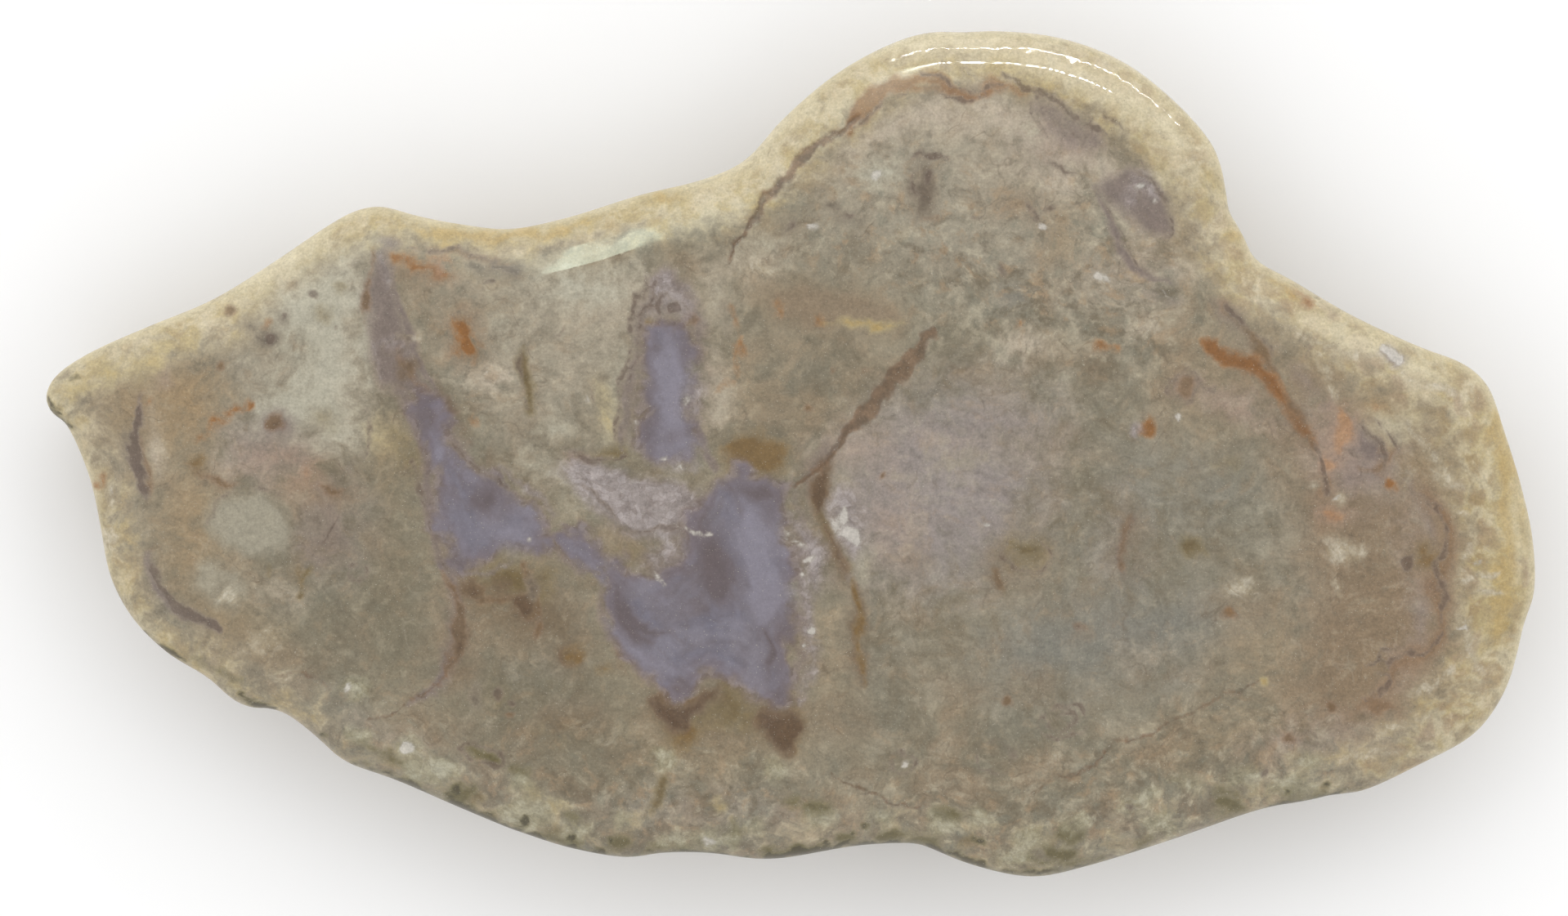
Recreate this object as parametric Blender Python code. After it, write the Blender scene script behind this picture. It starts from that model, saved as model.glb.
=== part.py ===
"""A cut and polished slab of dinosaur coprolite, lying on its sawn back.

Metres, +Z up. The origin lies under the middle of the slab's bounding box, on the surface that the
slab rests on. X runs along the slab's length, and Y across it, towards the round lobe.
"""

import math

import bmesh
import bpy
from mathutils import Vector, noise
from mathutils.geometry import delaunay_2d_cdt

MM = 0.001
UP = Vector((0.0, 0.0, 1.0))

# Driving dimensions, in millimetres.
THICKNESS = 12.0  # back to the top of the crown, over the middle of the slab
GIRTH_HEIGHT = 8.8  # mean height of the widest section, which is the outline seen from above
GIRTH_SWELL = 0.7  # how far the girth wanders up and down
GIRTH_SPACING = 17.0  # typical distance between its high and low stretches
SHOULDER_WIDTH = 4.6  # the polished shoulder, from the outline in to the face
SHOULDER_POWER = 2.0  # 2 is a quarter ellipse, and more is squarer
UNDERCUT = 3.4  # how far the side leans in below the girth, down to the back
UNDERCUT_ROUNDNESS = 0.65  # 0 leans in straight, and 1 is a quarter ellipse
BACK_BEVEL = 0.5  # the broken edge round the sawn back
END_DROP = 1.3  # how much lower the crown is at the slab's ends than over its middle
SIDE_DROP = 0.6  # and at its long sides
HALF_LENGTH = 51.0
HALF_WIDTH = 29.0

# Natural skin on the side below the girth: broad lumps, with small ones on them.
LUMPS = ((0.9, 6.5), (0.35, 2.6))  # height and spacing of each size
LUMPS_LOW = 1.5  # 1 puts the largest lumps half way down the side, and more puts them lower
NOISE_ORIGIN = Vector((3.1, 7.4, 1.9))

# Mesh resolution.
OUTLINE_POINTS = 230
SHOULDER_RINGS = 7
SIDE_RINGS = 9
FACE_GRID = 4.0  # spacing of the points inside the crown
CURVE_STEPS = 12  # points per stretch of the outline's curve, before it is spaced evenly
INSET_STEP = 0.2
INSET_RELAX = 0.2
SHARP_ANGLE = 40.0  # degrees between faces that meet in a crisp edge, as round the sawn back

# The slab's outline at its girth, clockwise seen from above.
# Every point is a place where the edge turns; a smooth curve joins them.
OUTLINE = (
    # nose
    (-51.0, 3.8), (-50.5, 5.1), (-48.5, 6.6),
    # upper left flank
    (-44.0, 8.7), (-39.5, 10.6), (-35.1, 13.3), (-31.2, 15.9),
    # crest
    (-29.7, 16.7), (-28.1, 17.0), (-25.5, 16.3),
    # saddle
    (-22.2, 15.7), (-19.3, 15.4), (-15.5, 16.1), (-10.4, 17.7), (-5.9, 18.8),
    # foot of the lobe
    (-3.5, 19.8), (-2.3, 20.8),
    # lobe
    (-0.8, 22.6), (3.0, 25.9), (7.2, 28.2), (9.7, 28.9), (12.0, 28.9), (14.2, 29.0), (18.7, 28.5),
    (23.2, 26.7), (27.6, 22.9), (29.2, 20.7), (29.9, 18.0),
    # the two notches beside the lobe
    (30.0, 16.8), (31.0, 15.1), (31.8, 13.4),
    # upper right flank
    (34.4, 11.9), (38.9, 9.3), (43.3, 7.3),
    # right shoulder
    (46.3, 6.1), (47.8, 4.7), (48.9, 1.7),
    # right flank
    (50.1, -2.2), (50.9, -5.9), (51.0, -9.5), (50.3, -11.7), (49.8, -14.0),
    # heel
    (49.0, -16.4), (47.0, -19.2), (43.3, -21.3), (39.1, -23.2),
    # lower right
    (37.2, -23.4), (35.5, -23.8), (32.6, -24.3), (26.0, -26.6), (20.4, -28.3),
    # belly lobe
    (16.6, -29.0), (12.5, -28.2), (10.2, -27.3), (9.1, -26.8),
    # belly
    (5.3, -26.8), (-1.5, -27.8), (-5.5, -27.4), (-9.0, -27.4), (-11.0, -27.7), (-14.9, -27.1),
    (-18.3, -26.0), (-22.7, -24.3), (-27.2, -22.4),
    # lower left ledges
    (-30.7, -21.1), (-31.7, -20.2), (-32.5, -19.4), (-35.2, -17.5), (-36.5, -17.5),
    (-38.1, -16.9), (-39.8, -15.4),
    # left flank
    (-42.6, -13.7), (-45.0, -11.3), (-46.5, -8.5), (-47.3, -4.5), (-47.9, -1.8), (-49.0, 1.0),
    (-49.6, 2.1), (-50.5, 2.7),
)


def clear_scene():
    for obj in list(bpy.data.objects):
        bpy.data.objects.remove(obj, do_unlink=True)


def stone_material():
    """Waxy polished chalcedony, olive grey as a whole."""
    material = bpy.data.materials.new("polished_coprolite")
    material.use_nodes = True
    shader = material.node_tree.nodes["Principled BSDF"]
    shader.inputs["Base Color"].default_value = (0.28, 0.24, 0.17, 1.0)
    shader.inputs["Roughness"].default_value = 0.2
    shader.inputs["Metallic"].default_value = 0.0
    return material


def curve_through(points):
    """A closed centripetal Catmull-Rom curve through points, as a list of 2D vectors."""
    corners = [Vector(p) for p in points]
    count = len(corners)
    curve = []
    for i in range(count):
        p0, p1, p2, p3 = (corners[(i + k) % count] for k in (-1, 0, 1, 2))
        t1 = math.sqrt((p1 - p0).length)
        t2 = t1 + math.sqrt((p2 - p1).length)
        t3 = t2 + math.sqrt((p3 - p2).length)
        for step in range(CURVE_STEPS):
            t = t1 + (t2 - t1) * step / CURVE_STEPS
            a1 = p0.lerp(p1, t / t1)
            a2 = p1.lerp(p2, (t - t1) / (t2 - t1))
            a3 = p2.lerp(p3, (t - t2) / (t3 - t2))
            b1 = a1.lerp(a2, t / t2)
            b2 = a2.lerp(a3, (t - t1) / (t3 - t1))
            curve.append(b1.lerp(b2, (t - t1) / (t2 - t1)))
    return curve


def spaced_evenly(curve, count):
    """The closed curve again, as count points at equal steps along it."""
    closed = curve + [curve[0]]
    lengths = [0.0]
    for a, b in zip(closed, closed[1:]):
        lengths.append(lengths[-1] + (b - a).length)
    spaced = []
    i = 0
    for k in range(count):
        along = lengths[-1] * k / count
        while lengths[i + 1] < along:
            i += 1
        share = (along - lengths[i]) / (lengths[i + 1] - lengths[i])
        spaced.append(closed[i].lerp(closed[i + 1], share))
    return spaced


def inward_normals(ring):
    """The unit normals of a clockwise ring, pointing to its inside."""
    normals = []
    for i in range(len(ring)):
        along = ring[(i + 1) % len(ring)] - ring[i - 1]
        normals.append(Vector((along.y, -along.x)).normalized())
    return normals


def inset(ring, distance):
    """The ring moved inwards by distance, in small relaxed steps, so that it never crosses itself."""
    steps = math.ceil(distance / INSET_STEP)
    for _ in range(steps):
        moved = [p + n * (distance / steps) for p, n in zip(ring, inward_normals(ring))]
        middles = [(moved[i - 1] + moved[(i + 1) % len(moved)]) / 2 for i in range(len(moved))]
        ring = spaced_evenly([p.lerp(m, INSET_RELAX) for p, m in zip(moved, middles)], len(ring))
    return ring


def nested(ring, distances):
    """The rings at these growing distances inside ring, each one moved on from the one before."""
    rings = []
    reached = 0.0
    for distance in distances:
        ring = inset(ring, distance - reached)
        reached = distance
        rings.append(ring)
    return rings


def crown_height(p):
    """Height of the polished face, a very low dome, over a point of the plan."""
    return THICKNESS - END_DROP * (p.x / HALF_LENGTH) ** 2 - SIDE_DROP * (p.y / HALF_WIDTH) ** 2


def girth_height(p):
    return GIRTH_HEIGHT + GIRTH_SWELL * noise.noise(p.to_3d() / GIRTH_SPACING + NOISE_ORIGIN)


def skin_lump(place):
    """How far the skin stands out at a place on the side."""
    return sum(height * noise.noise(place / spacing + NOISE_ORIGIN) for height, spacing in LUMPS)


def shoulder_rings(outline):
    """The rings from the girth up over the polished shoulder to the edge of the face."""
    turns = [math.pi / 2 * k / SHOULDER_RINGS for k in range(SHOULDER_RINGS + 1)]
    shares = [1 - math.cos(turn) for turn in turns]
    rings = []
    for share, plan in zip(shares, nested(outline, [SHOULDER_WIDTH * s for s in shares])):
        rise = (1 - (1 - share) ** SHOULDER_POWER) ** (1 / SHOULDER_POWER)
        heights = [girth_height(p) * (1 - rise) + crown_height(p) * rise for p in plan]
        rings.append([p.to_3d() + UP * height for p, height in zip(plan, heights)])
    return rings


def side_rings(outline):
    """The rings from just below the girth down the lumpy side, and then the sawn back's own edge."""
    shares = [k / SIDE_RINGS for k in range(1, SIDE_RINGS + 1)]
    leans = [1 - math.sqrt(1 - share * share) for share in shares]
    reach = UNDERCUT - BACK_BEVEL
    depths = [reach * (s + (lean - s) * UNDERCUT_ROUNDNESS) for s, lean in zip(shares, leans)]
    rings = []
    for share, plan in zip(shares, nested(outline, depths)):
        fade = math.sin(math.pi * share**LUMPS_LOW)
        ring = []
        for p, inward in zip(plan, inward_normals(plan)):
            height = girth_height(p) + (BACK_BEVEL - girth_height(p)) * share
            place = p.to_3d() + UP * height
            ring.append(place - inward.to_3d() * skin_lump(place) * fade)
        rings.append(ring)
    rings.append([p.to_3d() for p in inset(outline, UNDERCUT)])
    return rings


def is_inside(p, ring):
    """Whether a line going right from p crosses the closed ring an odd number of times."""
    crossings = 0
    for a, b in zip(ring, ring[1:] + ring[:1]):
        if (a.y > p.y) != (b.y > p.y):
            crossings += p.x < a.x + (b.x - a.x) * (p.y - a.y) / (b.y - a.y)
    return crossings % 2 == 1


def crown_points(edge):
    """Plan points on a square grid inside the edge of the face, and clear of it."""
    clear = inset(edge, FACE_GRID / 2)
    columns = range(-math.ceil(HALF_LENGTH / FACE_GRID), math.ceil(HALF_LENGTH / FACE_GRID))
    rows = range(-math.ceil(HALF_WIDTH / FACE_GRID), math.ceil(HALF_WIDTH / FACE_GRID))
    grid = [Vector((column * FACE_GRID, row * FACE_GRID)) for column in columns for row in rows]
    return [p for p in grid if is_inside(p, clear)]


def add_crown(shape, rim):
    """Fill the polished face inside rim, a loop of vertices, with evenly sized triangles."""
    edge = [(vertex.co / MM).to_2d() for vertex in rim]
    middle = crown_points(edge)
    loop = list(range(len(edge)))
    triangles = delaunay_2d_cdt(edge + middle, [], [loop[::-1]], 1, 1e-6)[2]
    vertices = rim + [shape.verts.new((p.to_3d() + UP * crown_height(p)) * MM) for p in middle]
    for triangle in triangles:
        shape.faces.new([vertices[i] for i in triangle])


def coprolite():
    """The slab: bands of faces from the sawn back up to the face, a flat back and a domed crown."""
    outline = spaced_evenly(curve_through(OUTLINE), OUTLINE_POINTS)
    rings = side_rings(outline)[::-1] + shoulder_rings(outline)
    shape = bmesh.new()
    loops = [[shape.verts.new(p * MM) for p in ring] for ring in rings]
    for low, high in zip(loops, loops[1:]):
        for i in range(len(low)):
            j = (i + 1) % len(low)
            shape.faces.new((low[j], low[i], high[i], high[j]))
    back = shape.faces.new(loops[0])
    bmesh.ops.triangulate(shape, faces=[back])
    add_crown(shape, loops[-1])
    bmesh.ops.recalc_face_normals(shape, faces=shape.faces)
    mesh = bpy.data.meshes.new("coprolite")
    shape.to_mesh(mesh)
    shape.free()
    mesh.shade_smooth()
    mesh.set_sharp_from_angle(angle=math.radians(SHARP_ANGLE))
    mesh.materials.append(stone_material())
    slab = bpy.data.objects.new("coprolite", mesh)
    bpy.context.scene.collection.objects.link(slab)


clear_scene()
coprolite()
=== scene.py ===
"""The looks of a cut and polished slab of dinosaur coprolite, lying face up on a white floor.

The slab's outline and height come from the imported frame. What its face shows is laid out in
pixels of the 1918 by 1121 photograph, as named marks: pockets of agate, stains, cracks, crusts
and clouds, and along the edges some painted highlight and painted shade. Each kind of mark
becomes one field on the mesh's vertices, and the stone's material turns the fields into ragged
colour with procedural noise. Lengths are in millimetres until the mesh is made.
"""

import math

import bmesh
import bpy
import numpy as np
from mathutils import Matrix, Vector, kdtree, noise
from mathutils.geometry import delaunay_2d_cdt


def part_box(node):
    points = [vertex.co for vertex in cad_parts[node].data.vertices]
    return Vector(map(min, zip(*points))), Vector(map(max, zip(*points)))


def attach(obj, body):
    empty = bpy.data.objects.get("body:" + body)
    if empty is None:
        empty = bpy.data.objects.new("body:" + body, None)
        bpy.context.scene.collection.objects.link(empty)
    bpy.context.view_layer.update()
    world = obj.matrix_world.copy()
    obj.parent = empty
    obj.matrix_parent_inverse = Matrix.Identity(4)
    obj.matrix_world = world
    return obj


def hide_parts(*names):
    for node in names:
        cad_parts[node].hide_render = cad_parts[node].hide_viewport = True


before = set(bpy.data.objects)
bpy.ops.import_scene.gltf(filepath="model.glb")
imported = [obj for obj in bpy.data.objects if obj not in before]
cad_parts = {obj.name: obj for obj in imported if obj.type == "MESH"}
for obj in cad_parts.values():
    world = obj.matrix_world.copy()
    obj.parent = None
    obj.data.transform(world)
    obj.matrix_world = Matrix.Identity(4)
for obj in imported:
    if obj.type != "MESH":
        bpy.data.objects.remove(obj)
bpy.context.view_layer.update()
NODE = "coprolite"
_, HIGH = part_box(NODE)
MM = 0.001

# The photograph's scale at the height of the girth, and the pixel over the slab's origin.
MM_PER_PIXEL = 0.056
CENTRE_PIXEL = np.array([966.0, 555.0])
PHOTO_WIDTH, PHOTO_HEIGHT = 1918.0, 1121.0

# The slab's profile, as in its solid.
CROWN = HIGH.z / MM
GIRTH_HEIGHT = 8.8
GIRTH_SWELL = 0.7
GIRTH_SPACING = 17.0
SHOULDER_WIDTH = 4.6
UNDERCUT = 3.4
UNDERCUT_ROUNDNESS = 0.65
BACK_BEVEL = 0.5
END_DROP = 1.3
SIDE_DROP = 0.6
LUMPS = ((0.9, 6.5), (0.35, 2.6))
LUMPS_LOW = 1.5
NOISE_ORIGIN = Vector((3.1, 7.4, 1.9))

# Finer relief than the solid has: height and spacing of the grit on the natural skin.
SKIN_GRIT = ((0.16, 1.1), (0.07, 0.45))
CRACK_DEPTH = 0.09
POLISH_WAVE = 0.012
POLISH_SPACING = 5.0

# Mesh resolution. The rows of a lattice lie ROW_HEIGHT pitches apart.
ROUND_POINTS = 800
FINEST_WAVE = 1.6
INSET_STEP = 0.05
INSET_RELAX = 0.3
EDGE_RINGS = (0.0, 0.012, 0.05, 0.11, 0.2, 0.32, 0.48, 0.68, 0.9)
SIDE_BANDS = 13
FACE_PITCH = 0.257
BACK_PITCH = 0.85
CRACK_ROWS = (-0.2, -0.07, 0.0, 0.07, 0.2)
CRACK_GAP = 0.05
ROW_HEIGHT = 0.866
RELAX_PASSES = 60

# The texture sheet: where the face, the side and the back start on it, and the side's height.
FACE_START, SIDE_START, BACK_START = 0.71, 0.30, 0.145
SIDE_HEIGHT = 0.08

CAMERA_DISTANCE = 600.0

# How much brighter the lights make a colour than it is painted, and the size of the rim's cells.
LIT = 1.12
RIM_CELL = 2.2

# How the pattern of the face drifts, in pixels, through the stone to its back.
DRIFT = (34.0, -22.0)

# The light tent: its strength, and how much that grows towards the lobe's side.
TENT_STRENGTH, TENT_SIDE = 1.3, 0.35

# Reflections: the rows of lamps that show in the lobe, and the panel that shows in the saddle. Each
# row has its angle from straight up, the heading of its last lamp, and its radiance. FIRST_LAMP is
# the heading of a row's first lamp. Angles are in degrees and sizes in metres, but LOBE and SADDLE,
# which the lights point at, are in millimetres.
LOBE = (16.5, 25, 11)
LAMP_ROWS = ((66.0, 44.0, 190.0), (47.0, 58.0, 95.0))
LAMPS = 30
FIRST_LAMP = 112.0
LAMP_DISTANCE = 0.4
LAMP_SIZE = (0.0032, 0.012)
LAMP_BEAM = 7.5
LAMP_COLOUR = (1.0, 1.0, 0.97)
SADDLE = (-12.9, 13.6, 11)
PANEL_PLACE = (-0.078, 0.27, 0.36)
PANEL_SIZE = (0.06, 0.2)
PANEL_RADIANCE = 6.0
PANEL_COLOUR = (0.82, 1.0, 0.8)


# Marks. Every place and size from here to the geometry is in pixels of the photograph.


def chaikin(points, closed):
    """The outline or line through points with its corners cut twice, which rounds them."""
    ring = np.array(points, float)
    for _ in range(2):
        after = np.roll(ring, -1, axis=0)
        cut = np.stack([ring * 0.75 + after * 0.25, ring * 0.25 + after * 0.75], axis=1)
        if closed:
            ring = cut.reshape(-1, 2)
        else:
            ring = np.vstack([ring[:1], cut[:-1].reshape(-1, 2), ring[-1:]])
    return ring


def filled_mark(ring, strength):
    """A closed outline as a mark, with the radius of a disc that is as slim as it."""
    after = np.roll(ring, -1, axis=0)
    area = abs((ring[:, 0] * after[:, 1] - after[:, 0] * ring[:, 1]).sum()) / 2
    perimeter = np.linalg.norm(after - ring, axis=1).sum()
    return {"ring": ring, "slimness": 2 * area / perimeter, "strength": strength}


def patch(*corners, strength=1.0):
    """A filled outline."""
    return filled_mark(chaikin(corners, True), strength)


def ellipse(x, y, rx, ry, turn):
    """24 points round an ellipse that is turned anticlockwise by turn degrees."""
    angles = np.linspace(0.0, 2 * math.pi, 24, endpoint=False)
    lean = math.radians(-turn)
    along = np.array([math.cos(lean), math.sin(lean)])
    across = np.array([-math.sin(lean), math.cos(lean)])
    return np.outer(np.cos(angles) * rx, along) + np.outer(np.sin(angles) * ry, across) + (x, y)


def blob(x, y, rx, ry=None, turn=0.0, strength=1.0):
    """A filled ellipse."""
    return filled_mark(ellipse(x, y, rx, rx if ry is None else ry, turn), strength)


def blobs(*shapes, strength=1.0):
    """Filled ellipses of one strength, each with its centre, its radii and its turn."""
    return [blob(*shape, strength=strength) for shape in shapes]


def streak(*points, width, ends=0.35, strength=1.0):
    """A line as wide as width in its middle, and narrowed to the share ends at its two ends."""
    return {
        "line": chaikin(points, False), "width": width, "ends": ends,
        "slimness": width / 2, "strength": strength,
    }


def ring(x, y, rx, ry=None, turn=0.0, width=4.0, strength=1.0):
    """The drawn outline of an ellipse."""
    line = ellipse(x, y, rx, rx if ry is None else ry, turn)
    return {
        "line": np.vstack([line, line[:1]]), "width": width, "ends": 1.0,
        "slimness": width / 2, "strength": strength,
    }


AGATES = (
    # the left pocket, with its arm up to the left
    patch((498, 498), (508, 530), (524, 562), (530, 600), (535, 640), (544, 672), (556, 696),
        (572, 700), (588, 694), (600, 676), (622, 662), (636, 672), (648, 684), (668, 686),
        (676, 668), (662, 644), (646, 620), (612, 599), (590, 577), (572, 560), (556, 540),
        (544, 510), (530, 488), (512, 480)),
    # the upright pocket
    patch((797, 394), (792, 420), (794, 450), (788, 482), (785, 525), (798, 552), (824, 566),
        (846, 556), (845, 530), (836, 500), (842, 470), (848, 440), (844, 399), (820, 404)),
    # the large pocket
    patch((682, 658), (694, 684), (716, 700), (738, 712), (738, 745), (748, 778), (764, 800),
        (799, 831), (832, 848), (850, 834), (866, 822), (886, 824), (900, 836), (912, 848),
        (928, 856), (950, 866), (966, 862), (969, 811), (965, 761), (961, 728), (968, 702),
        (966, 662), (958, 632), (958, 604), (946, 590), (925, 582), (882, 580), (862, 596),
        (852, 628), (838, 656), (822, 690), (800, 712), (776, 700), (748, 672), (715, 656)),
)

CRACKS = (
    # from the saddle up round the lobe
    streak((888, 320), (899, 298), (916, 279), (933, 259), (949, 232), (966, 209), (986, 189),
        (1006, 172), (1029, 159), (1052, 145), width=12),
    # the dark wedge in the middle
    streak((1140, 398), (1128, 428), (1112, 447), (1094, 461), (1078, 484), (1062, 503),
        (1042, 524), (1022, 548), width=24, ends=0.1),
    streak((1024, 544), (1010, 560), (994, 580), (972, 600), width=10, ends=0.4),
    # the long faint one at the lower right
    streak((1540, 830), (1485, 859), (1439, 882), (1405, 897), (1372, 908), (1343, 928),
        (1306, 952), (1283, 959), (1250, 979), width=4.5),
    # lower middle
    streak((1012, 946), (1059, 969), (1094, 984), (1125, 989), width=4),
    # under the left arm
    streak((553, 800), (543, 833), (509, 859), (480, 872), (450, 879), width=4),
    # left end
    streak((332, 823), (378, 826), (408, 840), width=3),
)

# Each kind of mark: the colour of its edge and of its core, how far its edge fades, how ragged that
# fading is, its strength, and the marks themselves. Its colour starts where its field is 0.5 less
# soft, which is 0.5 where it isn't given. A fine kind has small crisp marks, and fine says where
# their colour starts and is full. Grains are a dark and a pale colour for a granular kind.
MARKS = {}
MARKS["pale_body"] = dict(
    edge=(158, 148, 130), core=(170, 161, 142), fade=60, ragged=1.0, strength=0.65,
    marks=(
        patch((960, 290), (1000, 210), (1070, 140), (1160, 110), (1260, 110), (1340, 180),
            (1400, 300), (1440, 360), (1380, 400), (1260, 370), (1100, 330), (1000, 330)),
        patch((250, 400), (330, 350), (420, 300), (450, 330), (440, 560), (300, 540), (240, 470),
            strength=0.8),
        patch((540, 300), (780, 300), (770, 540), (640, 560), (560, 480), (520, 400), strength=0.8),
        patch((1480, 640), (1560, 610), (1640, 620), (1680, 680), (1660, 760), (1580, 800),
            (1500, 760), strength=0.45), blob(700, 390, 110, 70),
        blob(1300, 260, 60, 90, strength=0.8),
        *blobs((640, 500, 60, 70), (1120, 600, 90, 70), strength=0.7),
        blob(940, 310, 60, 30, strength=0.6), blob(1290, 450, 110, 50, strength=0.5),
        *blobs((930, 470, 60, 60), (1090, 800, 70, 60), strength=0.4),
    ),
)
MARKS["olive_body"] = dict(
    edge=(128, 119, 98), core=(120, 111, 90), fade=60, ragged=0.9, strength=0.8,
    marks=(
        patch((462, 500), (500, 560), (522, 640), (548, 720), (540, 800), (500, 850), (440, 830),
            (420, 760), (430, 660), (450, 580)), *blobs((650, 850, 130, 90), (760, 900, 120, 60)),
        *blobs((360, 770, 120, 60), (620, 960, 90, 30), strength=0.6),
        *blobs((1000, 870, 50, 60), (590, 370, 50, 20), strength=0.5),
        blob(1470, 640, 110, 90, strength=0.45), blob(1030, 300, 80, 40, strength=0.4),
        blob(1280, 620, 90, 60, strength=0.35),
    ),
)
MARKS["blue_grey"] = dict(
    edge=(133, 129, 117), core=(128, 126, 117), fade=60, ragged=1.0, strength=0.75,
    marks=(
        *blobs((1350, 780, 170, 70, 8), (1240, 362, 26, 16), (540, 945, 26, 16)),
        *blobs((1440, 590, 120, 90), (1300, 680, 120, 60), strength=0.6),
        blob(1190, 700, 70, 60, strength=0.5),
        *blobs((650, 820, 70, 30), (1060, 750, 40, 80), strength=0.4),
    ),
)
MARKS["warm_body"] = dict(
    edge=(152, 133, 104), core=(157, 135, 103), fade=45, ragged=1.0, strength=0.8,
    marks=(
        patch((100, 440), (200, 425), (260, 440), (270, 500), (230, 560), (180, 560), (130, 540),
            (100, 500)),
        patch((185, 580), (250, 570), (262, 660), (300, 730), (360, 790), (300, 830), (220, 770),
            (190, 690), strength=0.8),
        patch((1600, 470), (1700, 480), (1790, 560), (1800, 700), (1770, 820), (1690, 900),
            (1600, 910), (1560, 880), (1640, 800), (1690, 700), (1650, 590)),
        *blobs((1490, 480, 70, 60), (870, 900, 110, 50), strength=0.7),
        blob(1500, 900, 110, 40, turn=14, strength=0.6), blob(600, 760, 60, 40, strength=0.5),
        blob(1020, 500, 60, 40, strength=0.4), blob(1240, 570, 90, 30, strength=0.35),
    ),
)
MARKS["cream_wash"] = dict(
    edge=(176, 163, 142), core=(192, 178, 158), fade=40, ragged=1.0, strength=0.85,
    marks=(
        *blobs((1250, 160, 30, 26), (1720, 660, 16, 26), (880, 480, 24, 40), (604, 460, 30, 20),
            (1258, 420, 30, 20), (1252, 160, 40, 22), (1300, 226, 30, 24), (1394, 226, 22, 16),
            (192, 560, 9, 26), (1034, 630, 26, 44), (454, 410, 12, 50)),
        blob(1452, 330, 22, 16, strength=0.9),
        *blobs((1200, 204, 30, 22), (1404, 302, 24, 18), (282, 562, 24, 14), (470, 330, 14, 30),
            strength=0.8),
        *blobs((1404, 402, 24, 20), (1450, 332, 20, 16), (342, 726, 34, 20), strength=0.7),
        *blobs((1400, 802, 40, 20), (1098, 742, 24, 20), (586, 348, 36, 16), strength=0.6),
        *blobs((620, 470, 40, 24), (700, 440, 30, 50), strength=0.5),
        # under the lobe's band
        streak((1010, 210), (1060, 168), (1120, 136), (1200, 138), (1280, 156), (1350, 200),
            (1400, 250), width=64), blob(1390, 236, 34, 26), blob(1240, 200, 70, 40, strength=0.6),
        # below the saddle
        patch((630, 330), (720, 318), (800, 320), (900, 300), (960, 300), (940, 340), (880, 360),
            (880, 420), (862, 400), (850, 340), (790, 350), (776, 420), (740, 420), (650, 400),
            strength=0.75),
        patch((410, 300), (452, 300), (446, 420), (452, 540), (410, 560), (380, 480)),
        blob(1044, 640, 20, 40), blob(188, 520, 10, 40, strength=0.7),
        *blobs((1060, 560, 40, 26), (330, 370, 50, 26, 30), strength=0.6),
        blob(1430, 330, 50, 40, strength=0.45),
    ),
)
MARKS["lilac_wash"] = dict(
    edge=(150, 140, 132), core=(151, 141, 137), fade=60, ragged=0.8, strength=0.85,
    marks=(
        *blobs((1150, 600, 130, 120), (1190, 520, 100, 50), (1060, 620, 50, 80),
            (1670, 580, 44, 50)), blob(320, 540, 40, 34, strength=0.8),
        blob(410, 640, 40, 60, strength=0.7),
        *blobs((1370, 660, 30, 60), (1640, 900, 80, 30, 14), strength=0.6),
        blob(860, 990, 120, 26, strength=0.5),
    ),
)
MARKS["ochre_wash"] = dict(
    edge=(158, 135, 102), core=(166, 138, 99), fade=40, ragged=1.1, strength=0.75,
    marks=(
        *blobs((1730, 470, 60, 30, -10), (1800, 560, 40, 60), (1810, 700, 36, 90),
            (1690, 500, 30, 24)), *blobs((1640, 540, 26, 44), (370, 590, 34, 26), strength=0.9),
        *blobs((1780, 840, 50, 40), (1760, 650, 30, 50), (1700, 830, 60, 40), (230, 490, 40, 44),
            strength=0.8), blob(1600, 440, 40, 40, strength=0.7),
        *blobs((240, 640, 30, 60), (1300, 292, 30, 40), strength=0.6),
        *blobs((600, 740, 60, 40), (1260, 680, 50, 34), (470, 560, 24, 50), strength=0.5),
        *blobs((1560, 800, 90, 60), (930, 480, 60, 50), strength=0.45),
        blob(1020, 770, 24, 90, strength=0.4),
    ),
)
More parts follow.
